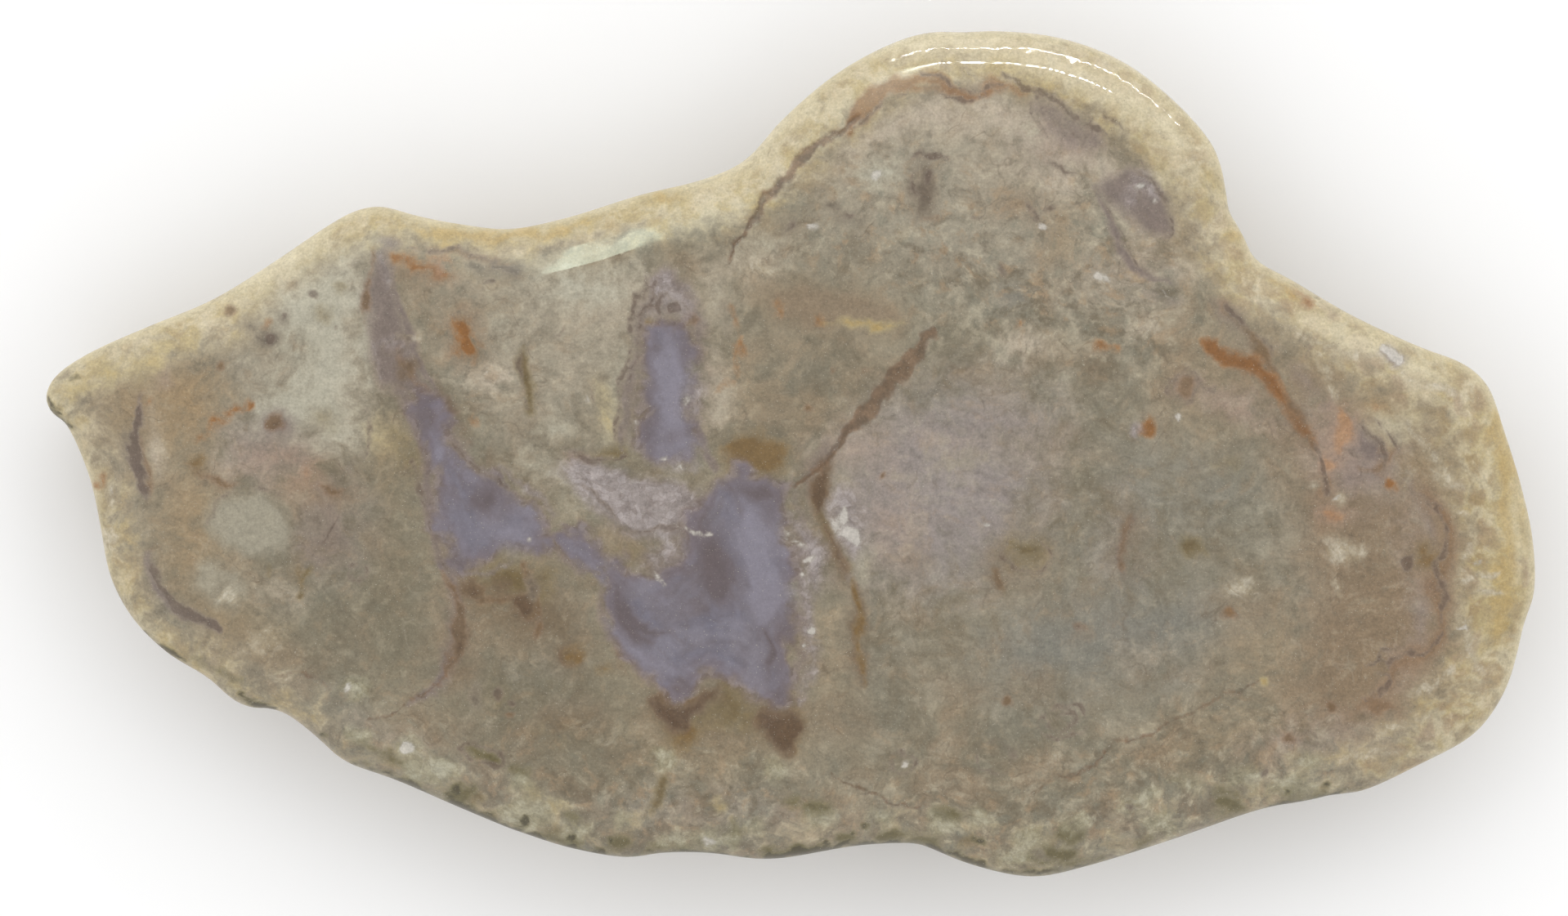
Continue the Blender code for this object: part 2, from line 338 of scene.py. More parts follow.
MARKS["umber_wash"] = dict(
    edge=(128, 113, 92), core=(118, 101, 78), fade=34, ragged=1.2, strength=0.85,
    marks=(
        streak((456, 296), (448, 350), (446, 410), width=10, strength=0.6),
        patch((556, 706), (600, 690), (660, 690), (700, 720), (724, 770), (712, 812), (660, 800),
            (600, 774), (560, 770)),
        patch((786, 838), (850, 850), (900, 838), (960, 866), (986, 880), (970, 920), (900, 900),
            (840, 920), (800, 896)),
        streak((1010, 550), (998, 590), (1004, 640), (1020, 680), (1036, 716), width=30),
        streak((1044, 706), (1048, 760), (1056, 838), width=20, strength=0.8),
        *blobs((700, 882, 40, 20), (560, 822, 24, 18), (824, 868, 34, 28), (640, 740, 30, 34),
            (580, 722, 34, 22), (562, 764, 16, 46), (700, 800, 28, 20), (900, 860, 80, 18),
            (1000, 600, 16, 40), (1050, 780, 12, 60), (620, 330, 30, 10), (1590, 520, 30, 16, 50),
            (500, 460, 14, 30, -30)), *blobs((1735, 742, 22, 30), (404, 662, 24, 30), strength=0.9),
        *blobs((1506, 500, 20, 20), (1650, 452, 26, 14), (660, 602, 20, 12), (640, 900, 30, 18),
            (600, 562, 16, 14), (1380, 664, 18, 44), strength=0.8),
        *blobs((1260, 842, 30, 16), (1040, 880, 40, 24), (760, 922, 30, 16), (1230, 690, 34, 34),
            strength=0.7),
        *blobs((452, 664, 20, 24), (1120, 682, 24, 16), (1184, 842, 30, 16), (1540, 742, 30, 24),
            (1690, 536, 30, 22), (1450, 470, 26, 26), (1010, 470, 50, 14, 10), strength=0.6),
        *blobs((560, 900, 40, 20), (1500, 500, 40, 30), (950, 500, 30, 40), strength=0.5),
        *blobs((1350, 562, 24, 16), (660, 900, 60, 30), strength=0.4),
    ),
)
MARKS["sienna_wash"] = dict(
    edge=(142, 124, 101), core=(136, 116, 92), fade=40, ragged=1.2, strength=0.85,
    marks=(
        streak((1745, 596), (1768, 640), (1772, 690), (1764, 740), (1758, 784), (1716, 822),
            (1690, 866), (1640, 884), width=50, ends=0.7),
        patch((1480, 410), (1560, 440), (1620, 500), (1650, 560), (1700, 590), (1770, 620),
            (1776, 720), (1750, 800), (1700, 860), (1640, 900), (1570, 890), (1580, 800),
            (1600, 740), (1580, 640), (1570, 560), (1520, 490)),
        *blobs((1640, 450, 70, 30, 24), (1740, 520, 40, 30), (500, 336, 40, 16),
            (400, 610, 40, 24)),
        *blobs((560, 760, 26, 60), (170, 530, 10, 50), (1240, 250, 30, 20), strength=0.8),
        *blobs((330, 556, 40, 20), (1280, 300, 24, 40), strength=0.6),
        *blobs((560, 400, 40, 40), (870, 420, 20, 60), strength=0.5),
    ),
)
MARKS["pinkish"] = dict(
    edge=(160, 142, 128), core=(164, 141, 127), fade=34, ragged=1.2, strength=0.7,
    marks=(
        patch((300, 520), (340, 505), (390, 540), (400, 590), (350, 606), (290, 590), (262, 560),
            strength=0.8),
        patch((1610, 490), (1660, 500), (1700, 560), (1690, 610), (1640, 610), (1600, 560)),
        streak((1700, 860), (1740, 780), (1740, 700), (1720, 620), width=50, strength=0.5),
        streak((1460, 470), (1520, 500), (1580, 520), width=40, strength=0.7),
        streak((180, 408), (192, 440), (204, 474), width=20, strength=0.9),
        blob(1290, 170, 60, 40, strength=0.7),
        *blobs((1050, 560, 60, 40), (1080, 650, 50, 60), (1600, 900, 90, 20, 14),
            (860, 470, 16, 60), strength=0.6),
        *blobs((1210, 540, 110, 26), (1380, 330, 60, 30), (470, 900, 60, 16, -20), strength=0.5),
    ),
)
MARKS["celadon"] = dict(
    edge=(173, 166, 146), core=(184, 179, 160), fade=38, soft=0.4, ragged=1.2, strength=0.85,
    marks=(
        streak((474, 322), (478, 350), width=12, strength=0.7),
        patch((318, 372), (352, 340), (400, 316), (446, 306), (452, 360), (444, 420), (446, 480),
            (448, 540), (430, 556), (400, 545), (380, 520), (350, 540), (316, 530), (300, 506),
            (330, 470), (360, 450), (352, 420), (322, 410)),
        patch((640, 330), (700, 320), (790, 316), (778, 350), (700, 362), (640, 352), strength=0.8),
        patch((755, 400), (770, 400), (764, 470), (752, 540), (730, 546), (742, 480), strength=0.7),
        patch((650, 500), (720, 520), (700, 545), (640, 540), strength=0.6),
        patch((600, 574), (640, 558), (690, 556), (716, 580), (712, 610), (680, 616), (640, 596),
            strength=0.75), *blobs((716, 352, 50, 17, -8), (704, 362, 56, 20), (446, 416, 12, 60)),
        blob(1079, 214, 28, 17, strength=0.9), blob(360, 438, 20, 24, strength=0.8),
        blob(334, 404, 20, 28, strength=0.7),
        *blobs((1252, 160, 26, 22), (880, 482, 20, 26), strength=0.6),
        *blobs((620, 400, 26, 36), (930, 300, 50, 14, 16), (876, 400, 16, 60), strength=0.5),
        blob(1200, 200, 24, 18, strength=0.4),
    ),
)
MARKS["pale_disc"] = dict(
    edge=(156, 149, 130), core=(163, 156, 137), fade=14, soft=0.4, ragged=0.8, strength=0.9,
    marks=(
        patch((248, 640), (264, 612), (300, 597), (334, 602), (356, 624), (360, 654), (342, 677),
            (312, 685), (278, 670)),
        patch((232, 690), (262, 686), (300, 700), (306, 728), (286, 748), (256, 744), (236, 722),
            strength=0.8),
        patch((1018, 616), (1034, 606), (1058, 640), (1068, 690), (1056, 720), (1040, 690)),
        blob(1030, 590, 20, 30, strength=0.5),
        *blobs((1560, 640, 60, 40), (1190, 560, 60, 24), strength=0.35),
    ),
)
MARKS["tan_sweep"] = dict(
    edge=(146, 130, 106), core=(139, 121, 98), fade=20, soft=0.45, ragged=0.9, strength=0.85,
    marks=(
        patch((926, 352), (950, 338), (1010, 342), (1064, 354), (1108, 376), (1112, 398),
            (1070, 412), (1010, 414), (962, 404), (934, 384)),
        patch((470, 560), (500, 590), (516, 660), (500, 760), (470, 790), (450, 700), strength=0.3),
        blob(960, 430, 70, 30, strength=0.5), blob(1050, 450, 60, 26, strength=0.4),
        blob(1300, 290, 26, 60, turn=-30, strength=0.35),
    ),
)
MARKS["mauve"] = dict(
    edge=(136, 122, 113), core=(124, 110, 103), fade=13, soft=0.4, ragged=0.8, strength=0.9,
    marks=(
        streak((476, 440), (490, 480), (512, 514), width=24, strength=0.8),
        streak((548, 690), (558, 740), (556, 790), (540, 836), width=20, strength=0.8),
        streak((474, 296), (484, 360), (500, 420), (530, 476), (556, 520), width=9),
        *blobs((480, 300, 12, 9), (340, 522, 20, 16), (1680, 545, 26, 22)),
        # the vein that falls from the crest into the left pocket
        patch((462, 286), (480, 288), (478, 330), (490, 370), (496, 410), (512, 446), (534, 480),
            (556, 520), (576, 552), (560, 556), (530, 520), (505, 490), (488, 480), (470, 482),
            (452, 470), (450, 420), (446, 370), (450, 320)),
        streak((508, 520), (516, 560), (524, 600), (530, 650), (546, 700), width=14, ends=0.8),
        # round the upright pocket
        patch((800, 326), (822, 322), (848, 350), (858, 388), (868, 420), (860, 450), (846, 440),
            (848, 400), (838, 370), (812, 350), (798, 372), (792, 410), (780, 450), (782, 500),
            (770, 540), (756, 548), (760, 490), (772, 430), (782, 370)),
        streak((850, 460), (846, 500), (858, 548), (876, 572), width=11, ends=0.6),
        # the lobe's two patches
        patch((1256, 122), (1280, 116), (1312, 134), (1350, 160), (1358, 186), (1330, 192),
            (1300, 180), (1280, 170), (1268, 150), strength=0.75),
        patch((1362, 205), (1384, 200), (1414, 222), (1434, 248), (1438, 280), (1418, 296),
            (1396, 284), (1380, 266), (1356, 246), (1343, 233)),
        streak((1343, 226), (1353, 260), (1367, 297), (1384, 322), (1407, 340), (1436, 348),
            width=11),
        # left end
        patch((365, 620), (400, 604), (432, 622), (430, 668), (404, 700), (368, 690), (352, 655),
            strength=0.55),
        streak((174, 480), (165, 520), (163, 545), (168, 580), (182, 612), width=13, ends=0.2),
        streak((180, 680), (190, 722), (214, 750), (266, 768), width=15),
        streak((336, 520), (362, 560), (400, 610), width=30, strength=0.5),
        streak((400, 600), (420, 570), (452, 545), width=16, strength=0.5),
        # below the left pocket
        streak((548, 690), (560, 730), (556, 780), (540, 836), (500, 868), width=12),
        streak((655, 620), (668, 644), (690, 690), (716, 706), width=14, strength=0.8),
        # round the large pocket
        streak((736, 700), (734, 748), (756, 796), (800, 838), (838, 856), width=13, strength=0.85),
        streak((900, 834), (926, 862), (962, 876), width=12, strength=0.8),
        streak((970, 596), (984, 640), (980, 690), (984, 740), (976, 860), width=17, strength=0.7),
        patch((806, 846), (838, 850), (866, 830), (900, 836), (898, 866), (850, 880), (812, 876),
            strength=0.6),
        # the middle
        streak((1148, 516), (1185, 529), (1208, 514), width=8, strength=0.6),
        streak((1390, 626), (1370, 670), (1380, 722), width=13, strength=0.7),
        streak((1012, 540), (992, 580), (1000, 620), width=20, strength=0.7),
        streak((996, 586), (1004, 640), (1032, 690), (1048, 720), width=12, strength=0.6),
        # the inner edge of the right stain
        streak((1560, 420), (1600, 470), (1650, 520), (1700, 560), (1750, 620), (1756, 700),
            (1740, 770), (1700, 830), (1650, 880), width=26, strength=0.5),
        patch((670, 556), (700, 560), (690, 600), (660, 610), strength=0.4),
        blob(1500, 384, 24, 12, turn=-40, strength=0.8),
        *blobs((1687, 533, 26, 20), (1447, 473, 22, 22), strength=0.7),
        *blobs((1660, 580, 34, 24), (1420, 364, 26, 10, -14), strength=0.6),
    ),
)
MARKS["olive_stain"] = dict(
    edge=(130, 115, 82), core=(106, 88, 52), fade=18, soft=0.45, ragged=1.1, strength=0.9,
    marks=(
        streak((646, 426), (638, 442), (642, 462), (650, 482), (646, 506), width=13),
        patch((480, 524), (500, 534), (516, 562), (512, 592), (494, 580), (484, 552), strength=0.7),
        patch((578, 700), (600, 690), (634, 684), (650, 694), (674, 690), (682, 716), (668, 744),
            (646, 740), (618, 728), (590, 740), (572, 726), strength=0.85),
        streak((384, 690), (366, 712), (360, 730), width=9),
        streak((332, 690), (330, 712), width=7, strength=0.7),
        patch((1228, 664), (1256, 654), (1284, 660), (1276, 680), (1252, 696), (1236, 690)),
        streak((1214, 694), (1226, 712), (1232, 730), width=9, strength=0.8),
        streak((998, 612), (1012, 645), (1024, 672), (1040, 694), width=15),
        patch((808, 846), (838, 858), (860, 842), (896, 826), (914, 850), (940, 868), (976, 870),
            (982, 896), (960, 916), (936, 904), (900, 886), (860, 896), (836, 916), (814, 900),
            (800, 872), strength=0.75),
        streak((812, 950), (806, 974), (798, 990), width=16, strength=0.8),
        patch((706, 556), (738, 550), (764, 548), (772, 562), (744, 568), (716, 566)),
        streak((546, 548), (560, 566), (578, 580), width=12, strength=0.7),
        *blobs((580, 976, 16, 8), (1300, 1046, 20, 9), (1500, 988, 20, 9), (762, 1032, 12, 8),
            (1182, 1032, 14, 7), (1010, 646, 8, 14), (659, 708, 18, 12), (1457, 671, 15, 10),
            (598, 1010, 14, 8)), blob(1845, 767, 7, 9, strength=0.8),
        *blobs((1002, 989, 22, 12, 24), (812, 690, 22, 18), (680, 1018, 14, 6), (902, 1022, 10, 14),
            strength=0.7), blob(1500, 567, 15, 9, strength=0.65),
        *blobs((400, 508, 20, 18), (608, 848, 12, 15), (625, 858, 9, 8), (592, 923, 26, 9, -15),
            (395, 384, 13, 9), strength=0.62),
        *blobs((972, 978, 14, 8), (420, 351, 11, 8), (770, 672, 22, 10), (770, 1030, 10, 12),
            strength=0.6), *blobs((1306, 966, 24, 8), (680, 900, 30, 16), strength=0.4),
    ),
)
MARKS["brown_stain"] = dict(
    edge=(138, 112, 88), core=(112, 86, 56), fade=7, fine=(0.22, 0.8), ragged=0.9, strength=0.8,
    marks=(
        streak((594, 322), (616, 328), (642, 337), width=13),
        streak((488, 428), (504, 456), (528, 494), width=9, strength=0.9),
        streak((640, 690), (656, 718), (660, 748), (654, 778), width=12, strength=0.9),
        streak((578, 706), (572, 724), (590, 738), (624, 732), width=9, strength=0.9),
        streak((1006, 566), (998, 590), (1004, 616), width=13),
        streak((1008, 640), (1020, 672), (1036, 694), width=11),
        streak((1046, 712), (1048, 764), (1054, 812), (1057, 838), width=8),
        streak((1216, 694), (1226, 712), (1230, 726), width=9),
        streak((1384, 628), (1374, 664), (1378, 704), width=11, strength=0.8),
        streak((1566, 488), (1580, 512), (1602, 536), width=15),
        streak((1746, 604), (1766, 630), (1774, 656), width=9),
        streak((1764, 736), (1762, 766), (1748, 790), width=9),
        streak((1560, 470), (1576, 500), (1600, 532), (1612, 548), width=14),
        streak((456, 300), (450, 340), (446, 400), width=5),
        streak((1666, 572), (1680, 578), (1696, 560), (1700, 540), width=10),
        streak((392, 596), (410, 604), (424, 596), width=11, strength=0.8),
        streak((184, 606), (176, 570), (170, 530), width=6, strength=0.8),
        streak((540, 700), (560, 736), (560, 780), (546, 824), width=10, strength=0.9),
        streak((232, 566), (262, 590), (300, 593), width=9, strength=0.7),
        streak((645, 732), (658, 752), (662, 776), width=7),
        streak((600, 726), (622, 730), (645, 738), width=5, strength=0.8),
        streak((506, 302), (540, 305), (580, 312), (612, 322), (634, 334), width=8),
        streak((1012, 589), (1002, 606), (998, 622), width=8),
        streak((1558, 494), (1574, 510), (1590, 526), (1610, 538), width=9),
        streak((1612, 576), (1620, 590), (1614, 606), width=9, strength=0.8),
        streak((1496, 372), (1512, 392), (1530, 412), (1552, 440), (1566, 470), width=15,
            strength=0.65),
        patch((760, 716), (778, 726), (786, 752), (776, 768), (760, 752), strength=0.65),
        streak((936, 776), (948, 796), (944, 816), width=13, strength=0.62),
        streak((1676, 514), (1690, 534), (1710, 548), width=7),
        streak((1686, 550), (1700, 540), (1706, 520), width=5),
        *blobs((700, 802, 13, 10), (822, 866, 18, 16), (848, 860, 16, 10), (938, 882, 16, 10),
            (1758, 690, 8, 14), (1686, 862, 20, 8, -20), (824, 868, 24, 22), (560, 768, 8, 34),
            (582, 722, 18, 12), (644, 744, 14, 20), (1236, 860, 7, 7), (1628, 865, 8, 6),
            (1578, 902, 8, 5), (1724, 690, 7, 9), (1059, 453, 4), (1016, 454, 4), (989, 501, 5),
            (1082, 579, 4), (1503, 384, 12, 6, -30)), blob(621, 872, 10, 6, strength=0.9),
        *blobs((1450, 474, 12, 14), (338, 520, 12, 12), (1316, 766, 9, 6), (285, 379, 8, 7),
            (270, 449, 7, 6), strength=0.8),
        *blobs((1505, 752, 14, 9), (1140, 268, 8, 5), strength=0.7),
        *blobs((760, 800, 7, 5), (845, 392, 8, 6), strength=0.6),
    ),
)
MARKS["umber"] = dict(
    edge=(118, 99, 77), core=(98, 77, 56), fade=14, fine=(0.2, 0.9), ragged=0.8, strength=0.95,
    marks=(
        patch((788, 850), (812, 866), (836, 862), (858, 842), (884, 838), (880, 862), (852, 876),
            (838, 898), (812, 896), (796, 876)),
        patch((920, 868), (948, 872), (966, 862), (986, 880), (976, 906), (958, 926), (944, 908),
            (926, 896)), streak((1008, 560), (998, 592), (1006, 622), width=20),
        streak((1006, 632), (1018, 668), (1034, 698), width=17, strength=0.8),
        streak((560, 740), (562, 780), (550, 816), width=17, strength=0.8),
        streak((600, 324), (622, 330), (642, 337), width=15, strength=0.8),
        streak((1216, 694), (1226, 712), (1230, 728), width=13, strength=0.8),
        streak((1048, 724), (1050, 780), (1056, 836), width=13, strength=0.8),
        streak((1570, 494), (1586, 520), (1606, 542), width=18, strength=0.9),
        streak((1384, 628), (1374, 664), (1378, 704), width=14, strength=0.6),
        *blobs((640, 744, 18, 20), (580, 722, 18, 14), (700, 802, 14, 11), strength=0.8),
        blob(498, 456, 10, 20, turn=-30, strength=0.7), blob(600, 720, 26, 14, strength=0.6),
        blob(1130, 234, 14, 26, strength=0.5),
    ),
)
MARKS["arc"] = dict(
    edge=(148, 124, 99), core=(136, 108, 80), fade=14, ragged=1.1, strength=0.8,
    marks=(
        streak((480, 318), (520, 326), (556, 340), width=30, strength=0.8),
        streak((1745, 602), (1766, 632), (1776, 664), (1766, 692), (1752, 710), (1766, 736),
            (1768, 762), (1754, 786), (1734, 804), (1704, 822), (1688, 850), (1652, 872), width=26,
            ends=0.6),
        streak((1660, 514), (1684, 524), (1702, 552), (1688, 580), width=20, strength=0.7),
        streak((1612, 580), (1622, 608), (1614, 640), width=18, strength=0.6),
        blob(1690, 862, 30, 12, turn=-20), blob(374, 582, 17, 15, strength=0.9),
        blob(570, 416, 24, 40, strength=0.7),
        *blobs((1620, 640, 16, 20), (1446, 474, 18, 22), (1500, 380, 22, 12, -30), strength=0.6),
        blob(350, 560, 24, 14, strength=0.4),
    ),
)
MARKS["amber"] = dict(
    edge=(134, 115, 84), core=(122, 96, 56), fade=15, soft=0.45, ragged=1.2, strength=0.9,
    marks=(
        patch((872, 548), (886, 534), (912, 528), (946, 526), (960, 546), (960, 574), (940, 584),
            (908, 580), (884, 566)),
        streak((796, 392), (811, 398), (828, 402), (844, 392), width=9),
        patch((692, 796), (704, 788), (722, 794), (716, 808), (702, 816)),
        patch((818, 890), (840, 884), (862, 892), (852, 908), (832, 922), (820, 910)),
        patch((972, 868), (986, 876), (978, 898), (968, 916), (954, 906), (950, 890)),
        streak((1044, 706), (1046, 740), (1050, 770), (1054, 800), (1058, 840), width=9,
            strength=0.95), streak((530, 540), (540, 580), width=7, strength=0.5),
        *blobs((925, 552, 44, 26), (952, 560, 14, 20), (900, 544, 16, 12), (966, 900, 16, 16),
            (836, 902, 20, 14), (1743, 676, 9, 16)), blob(365, 706, 9, 16, strength=0.9),
        *blobs((1745, 684, 20, 20), (242, 568, 12, 12), (1640, 500, 9, 14), strength=0.8),
        blob(742, 820, 9, 8, strength=0.62), blob(545, 620, 6, 30, strength=0.4),
    ),
)
MARKS["rust"] = dict(
    edge=(154, 118, 80), core=(140, 92, 40), fade=10, fine=(0.16, 0.8), ragged=1.2, strength=0.9,
    marks=(
        streak((484, 316), (504, 323), (526, 330), (548, 337), width=15),
        streak((520, 312), (540, 316), (556, 326), width=9),
        patch((556, 388), (572, 386), (578, 406), (588, 426), (582, 446), (568, 446), (556, 430),
            (560, 410)), streak((486, 322), (502, 316), (520, 320), (538, 332), width=12),
        streak((1478, 424), (1494, 434), (1512, 441), (1536, 449), (1552, 460), (1566, 476),
            (1560, 492), width=17),
        streak((240, 540), (276, 512), (300, 492), width=6, strength=0.6),
        streak((1340, 427), (1350, 421), (1363, 425), width=6),
        streak((949, 360), (955, 384), width=5),
        streak((894, 376), (902, 410), (906, 440), (902, 462), width=3, strength=0.7),
        streak((902, 462), (874, 476), width=3, strength=0.5),
        streak((320, 400), (330, 388), width=5, strength=0.6),
        *blobs((530, 326, 12, 9), (300, 493, 4, 5), (185, 492, 3), (124, 588, 4, 6), (573, 512, 5),
            (1402, 522, 6, 10, -20), (1004, 391, 6), (1248, 395, 5), (1598, 366, 9, 5, -35),
            (1584, 356, 5), (1690, 500, 6)), blob(1630, 628, 9, 7, strength=0.7),
        *blobs((700, 560, 14, 4), (1506, 750, 7, 5), strength=0.6),
        blob(1700, 592, 8, 6, strength=0.5),
    ),
)
MARKS["peach"] = dict(
    edge=(163, 138, 118), core=(176, 134, 96), fade=12, ragged=1.1, strength=0.75,
    marks=(
        streak((1634, 494), (1642, 520), (1640, 552), width=28), blob(1627, 568, 15, 12),
        *blobs((1634, 627, 26, 11), (376, 580, 20, 16), strength=0.8),
        *blobs((350, 556, 14, 10), (534, 324, 15, 13), strength=0.7),
        blob(1204, 106, 22, 10, strength=0.6),
    ),
)
MARKS["yellow"] = dict(
    edge=(184, 168, 124), core=(182, 156, 96), fade=16, ragged=1.2, strength=0.7,
    marks=(
        streak((484, 276), (540, 288), (600, 292), (650, 288), (720, 278), width=24),
        streak((780, 250), (850, 236), (920, 206), width=40, strength=0.6),
        streak((70, 480), (120, 470), (200, 430), width=36, strength=0.55),
        streak((1008, 392), (1052, 400), (1108, 396), width=11, strength=0.8),
        streak((1545, 340), (1590, 366), width=12, strength=0.8),
        streak((1826, 500), (1840, 570), (1848, 640), (1842, 720), (1826, 790), width=40),
        streak((1660, 400), (1720, 440), (1780, 450), width=30, strength=0.5),
        streak((1100, 76), (1180, 76), (1260, 92), width=16, strength=0.6),
        streak((450, 300), (470, 300), width=12, strength=0.4),
        streak((500, 1000), (560, 1004), (640, 1030), width=10, strength=0.5),
        *blobs((1508, 287, 14, 8), (875, 985, 14, 8), (1547, 832, 6, 5)),
        blob(654, 970, 12, 10, strength=0.7),
        *blobs((680, 985, 14, 8), (1480, 230, 12, 30), strength=0.6),
        blob(740, 500, 16, 40, turn=14, strength=0.5), blob(460, 530, 24, 30, strength=0.4),
    ),
)
# Dark olive strokes along the lower edges: partly the stone's olive tint, partly painted shade
# where those edges turn away from the light.
MARKS["moss"] = dict(
    edge=(122, 113, 83), core=(104, 94, 60), fade=9, fine=(0.2, 0.9), ragged=1.0, strength=1.0,
    marks=(
        streak((664, 1022), (690, 1028), (716, 1034), width=13),
        streak((786, 1036), (850, 1038), width=10, strength=0.8),
        streak((926, 1041), (980, 1042), (1034, 1036), width=10),
        streak((572, 914), (614, 932), width=15, strength=0.8),
        streak((1226, 1050), (1290, 1058), (1352, 1050), width=11),
        streak((1476, 1000), (1544, 994), width=10, strength=0.8),
        streak((420, 896), (470, 924), (520, 956), width=11, strength=0.8),
        streak((240, 806), (300, 838), width=10, strength=0.7),
        *blobs((560, 976, 30, 12, 25), (1300, 1044, 24, 12), (1500, 986, 22, 10),
            (1090, 1022, 24, 8), (755, 1032, 18, 9), (896, 1022, 10, 16), (1034, 1026, 17, 8),
            (1120, 1030, 26, 8)), blob(1004, 990, 18, 11, strength=0.8),
        *blobs((968, 980, 13, 8), (1310, 1020, 22, 12), (1400, 1030, 16, 9), (1500, 972, 20, 9),
            strength=0.7), *blobs((640, 944, 14, 9), (700, 1000, 12, 8), strength=0.6),
        *blobs((1160, 996, 20, 10), (1600, 974, 30, 8), strength=0.5),
    ),
)
# Pale cream along the upper and right edges, which face the light: partly the rim's own cream,
# partly painted highlight and painted light.
MARKS["pale_glaze"] = dict(
    edge=(204, 193, 160), core=(215, 204, 173), fade=16, ragged=1.2, strength=0.6,
    marks=(
        streak((1084, 56), (1150, 50), (1220, 52), (1300, 80), (1352, 104), (1402, 134),
            (1440, 170), width=40, ends=0.6),
        streak((1000, 126), (950, 160), (900, 204), (840, 232), width=30),
        streak((1590, 386), (1640, 410), (1720, 440), (1764, 470), width=30),
        streak((1848, 590), (1858, 650), (1854, 710), width=16, strength=0.7),
        streak((290, 360), (340, 326), (400, 290), width=26), blob(1702, 520, 28, 20),
        blob(1420, 222, 14, 10, strength=0.7), blob(1742, 520, 18, 14, strength=0.5),
    ),
)
# the lower rim's granules
MARKS["pale_moss"] = dict(
    grains=((124, 116, 86), (186, 182, 160)),
    edge=(154, 147, 118), core=(171, 164, 138), fade=12, ragged=1.3, strength=0.85,
    marks=(
        *blobs((640, 998, 30, 18), (822, 1026, 20, 10), (880, 1026, 26, 11), (528, 940, 34, 17),
            (1240, 1046, 26, 12), (1420, 1012, 26, 12), (1580, 962, 26, 9), (440, 900, 16, 8),
            (500, 914, 16, 12), (440, 846, 12, 10), (424, 838, 9), (866, 1026, 24, 12),
            (1150, 1010, 18, 10), (1260, 1030, 20, 12), (1520, 950, 24, 9, 16)),
        *blobs((812, 928, 10, 12), (706, 1016, 16, 10), (1076, 1000, 14, 9), (1320, 1006, 22, 12),
            (1390, 980, 26, 10, 20), strength=0.8),
        *blobs((640, 960, 14, 12), (945, 943, 18, 14), (920, 1010, 16, 10), (1200, 1000, 14, 12),
            (1450, 960, 20, 12), (1600, 930, 20, 12), strength=0.7),
        *blobs((533, 944, 24, 16), (760, 1000, 10, 14), (1010, 1000, 18, 10), strength=0.6),
    ),
)
MARKS["cream"] = dict(
    grains=((150, 132, 100), (206, 198, 180)),
    edge=(172, 159, 134), core=(190, 179, 156), fade=12, soft=0.45, ragged=1.3, strength=0.75,
    marks=(
        # clouded network between the rim and the stain at the broad end
        streak((1560, 380), (1600, 420), (1640, 430), (1700, 440), width=14, strength=0.8),
        streak((1600, 420), (1622, 456), (1640, 500), width=12, strength=0.6),
        streak((1700, 440), (1730, 470), (1780, 480), width=14, strength=0.8),
        streak((1720, 520), (1752, 560), (1770, 590), (1800, 600), width=13, strength=0.9),
        streak((1740, 570), (1716, 600), width=9, strength=0.7),
        streak((1780, 620), (1800, 640), (1800, 680), (1780, 700), width=11, strength=0.8),
        streak((1780, 712), (1812, 708), (1838, 700), width=7),
        streak((1784, 730), (1812, 728), (1840, 722), width=6),
        streak((1780, 752), (1800, 770), (1796, 800), (1812, 820), width=13, strength=0.9),
        streak((1720, 850), (1750, 840), (1780, 820), width=12, strength=0.8),
        streak((1690, 900), (1720, 880), (1760, 876), width=10, strength=0.7),
        streak((1640, 930), (1680, 920), (1720, 920), width=12, strength=0.6),
        patch((1618, 664), (1640, 656), (1668, 670), (1666, 686), (1640, 688), (1622, 682)),
        patch((1500, 716), (1528, 708), (1540, 724), (1520, 736), (1502, 732)),
        streak((1632, 706), (1640, 730), width=9, strength=0.9),
        *blobs((1637, 613, 9, 6), (1606, 596, 6, 5)),
        # the left rim's
        streak((520, 410), (500, 420), (480, 408), width=8, strength=0.6),
        *blobs((136, 606, 9, 13), (134, 662, 7, 12), (280, 728, 12, 9)),
        blob(320, 780, 22, 14, strength=0.8),
        *blobs((300, 800, 12, 8), (200, 736, 16, 8, -40), (340, 830, 14, 8), strength=0.6),
        # bright crystals near the upright pocket and the sweep
        streak((896, 340), (920, 330), (960, 332), width=12, strength=0.6),
        streak((1340, 343), (1352, 346), width=9),
        *blobs((1032, 650, 14, 20), (1130, 388, 9, 6), strength=0.7),
        *blobs((1290, 930, 10, 6), (1180, 250, 12, 8), (1230, 300, 14, 8), strength=0.6),
        *blobs((1060, 690, 8, 14), (1110, 280, 14, 7), strength=0.5),
    ),
)
